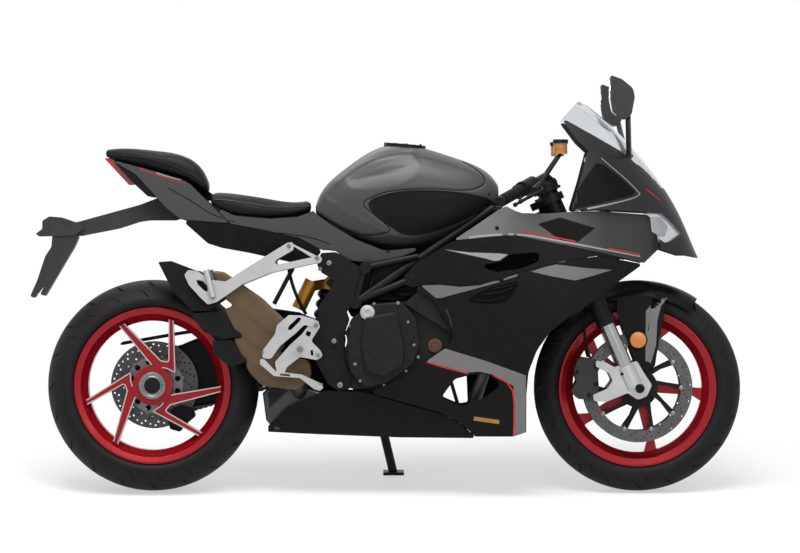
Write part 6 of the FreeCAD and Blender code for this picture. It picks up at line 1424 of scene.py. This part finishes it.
def makeSprocketBolts():
    facts = sprocketBolts
    tree = cadTree("rear_sprocket", "rear_rim", "rear_spindle")
    bm = bmesh.new()
    for i in range(facts["count"]):
        start = ringAt(bikeRear, facts["radius"], 2 * math.pi * i / facts["count"] + facts["turn"], facts["from"])
        hit = tree.ray_cast(Vector(start), Vector((0, -1, 0)), facts["from"])[0]
        added(bm, bolt, hit - Vector((0, facts["sunk"], 0)), (0, 1, 0), *facts["bolt"], False)
    addPiece("sprocketBolts", bm, "darkSteel", "rear_wheel", "steel")


makeSprocketBolts()
print("stage: chain")

# Hoses, cables and rods between the castings
plumbing = {
    "engineHoses": {"finish": "rubber", "slot": "rubber", "body": "chassis", "radius": 0.0055, "both": True,
                    "lines": [[(419, 300, -0.112), (427, 312, -0.124), (424, 330, -0.128), (432, 344, -0.124)],
                              [(441, 303, -0.116), (433, 316, -0.128), (440, 330, -0.128), (437, 342, -0.120)],
                              [(379, 262, -0.090), (370, 277, -0.100), (372, 292, -0.104), (364, 309, -0.100)],
                              [(392, 290, -0.104), (404, 298, -0.116), (414, 297, -0.112), (420, 285, -0.096)]]},
    "shockHose": {"finish": "rubber", "slot": "rubber", "body": "chassis", "radius": 0.0050, "both": False,
                  "lines": [[(289, 270, -0.056), (291, 282, -0.070), (296, 298, -0.072), (306, 314, -0.060)]]},
    "shockRod": {"finish": "blackMetal", "slot": "black_metal", "body": "chassis", "radius": 0.0065, "both": False,
                 "lines": [[(274, 304, -0.060), (283, 287, -0.060), (293, 268, -0.060)]]},
    "barHoses": {"finish": "rubber", "slot": "rubber", "body": "steering", "radius": 0.0042, "both": True,
                 "lines": [[(560, 186, -0.128), (549, 189, -0.140), (543, 201, -0.132), (545, 214, -0.104),
                            (556, 221, -0.070)]]},
    "ventStrut": {"finish": "blackPlastic", "slot": "black_plastic", "body": "chassis", "radius": 0.0050, "both": True,
                  "lines": [[(450, 378, -0.118), (454, 391, -0.118), (459, 408, -0.118)]]},
}
for name, facts in plumbing.items():
    bm = bmesh.new()
    for line in facts["lines"]:
        hose(bm, [px(*place) for place in line], facts["radius"])
    settled(bm, merge["fine"])
    addPiece(name, bm, facts["finish"], facts["body"], facts["slot"], both=facts["both"])
print("stage: hoses and rods")

# Tail stripes and the seams between the covers beside the seats
tailSkin = cadTree("tail_panels", "tail_lower_panels")
tailTrim = {"stripeSilver": [{"line": [(134, 164), (152, 171.5), (172, 178), (190, 182)], "width": 2.2,
                              "endWidth": 0.6}],
            "stripeRed": [{"line": [(140, 168.5), (155, 174.5), (172, 180), (186, 183.5)], "width": 1.0,
                           "endWidth": 0.4}],
            "gapBlack": [{"line": [(168, 188), (190, 200), (212, 215), (235, 222)], "width": 0.7},
                         {"line": [(250, 228), (280, 233), (310, 237), (330, 244)], "width": 0.7}]}
for finish, outlines in tailTrim.items():
    decals("tail" + finish[0].upper() + finish[1:], outlines, tailSkin, finish, "chassis", "grey_satin",
           lift=0.0003, step=0.006)

# Bolts round the fuel cap's top and the lock's cover in its middle
capTrim = {"bolts": 7, "radius": 0.0328, "turn": 0.2, "bolt": (0.0038, 0.0035), "boltSunk": 0.0015,
           "above": 0.05, "reach": 0.2, "key": (0.008, 0.0035, 28, 0.92, 0.0008), "keySunk": 0.001}


def makeCapTrim():
    facts = capTrim
    corners = cadCorners("fuel_cap")
    x, y, _ = (corners.min(axis=0) + corners.max(axis=0)) / 2
    above = Vector((x, y, corners[:, 2].max() + facts["above"]))
    hit, normal, _, _ = cadTree("fuel_cap").ray_cast(above, Vector((0, 0, -1)), facts["reach"])
    normal = normal if normal.z > 0 else -normal
    aside = Vector((0, 1, 0))
    ahead = aside.cross(normal).normalized()
    bm = bmesh.new()
    for i in range(facts["bolts"]):
        angle = 2 * math.pi * i / facts["bolts"] + facts["turn"]
        place = hit + (ahead * math.cos(angle) + aside * math.sin(angle)) * facts["radius"]
        added(bm, bolt, place - normal * facts["boltSunk"], normal, *facts["bolt"])
    added(bm, peg, hit - normal * facts["keySunk"], normal, *facts["key"])
    addPiece("capBolts", bm, "steel", "fuel_cap", "steel")


makeCapTrim()
print("stage: tail stripes and cap")

bpy.context.scene.view_settings.view_transform = "Standard"
print("stage: done")
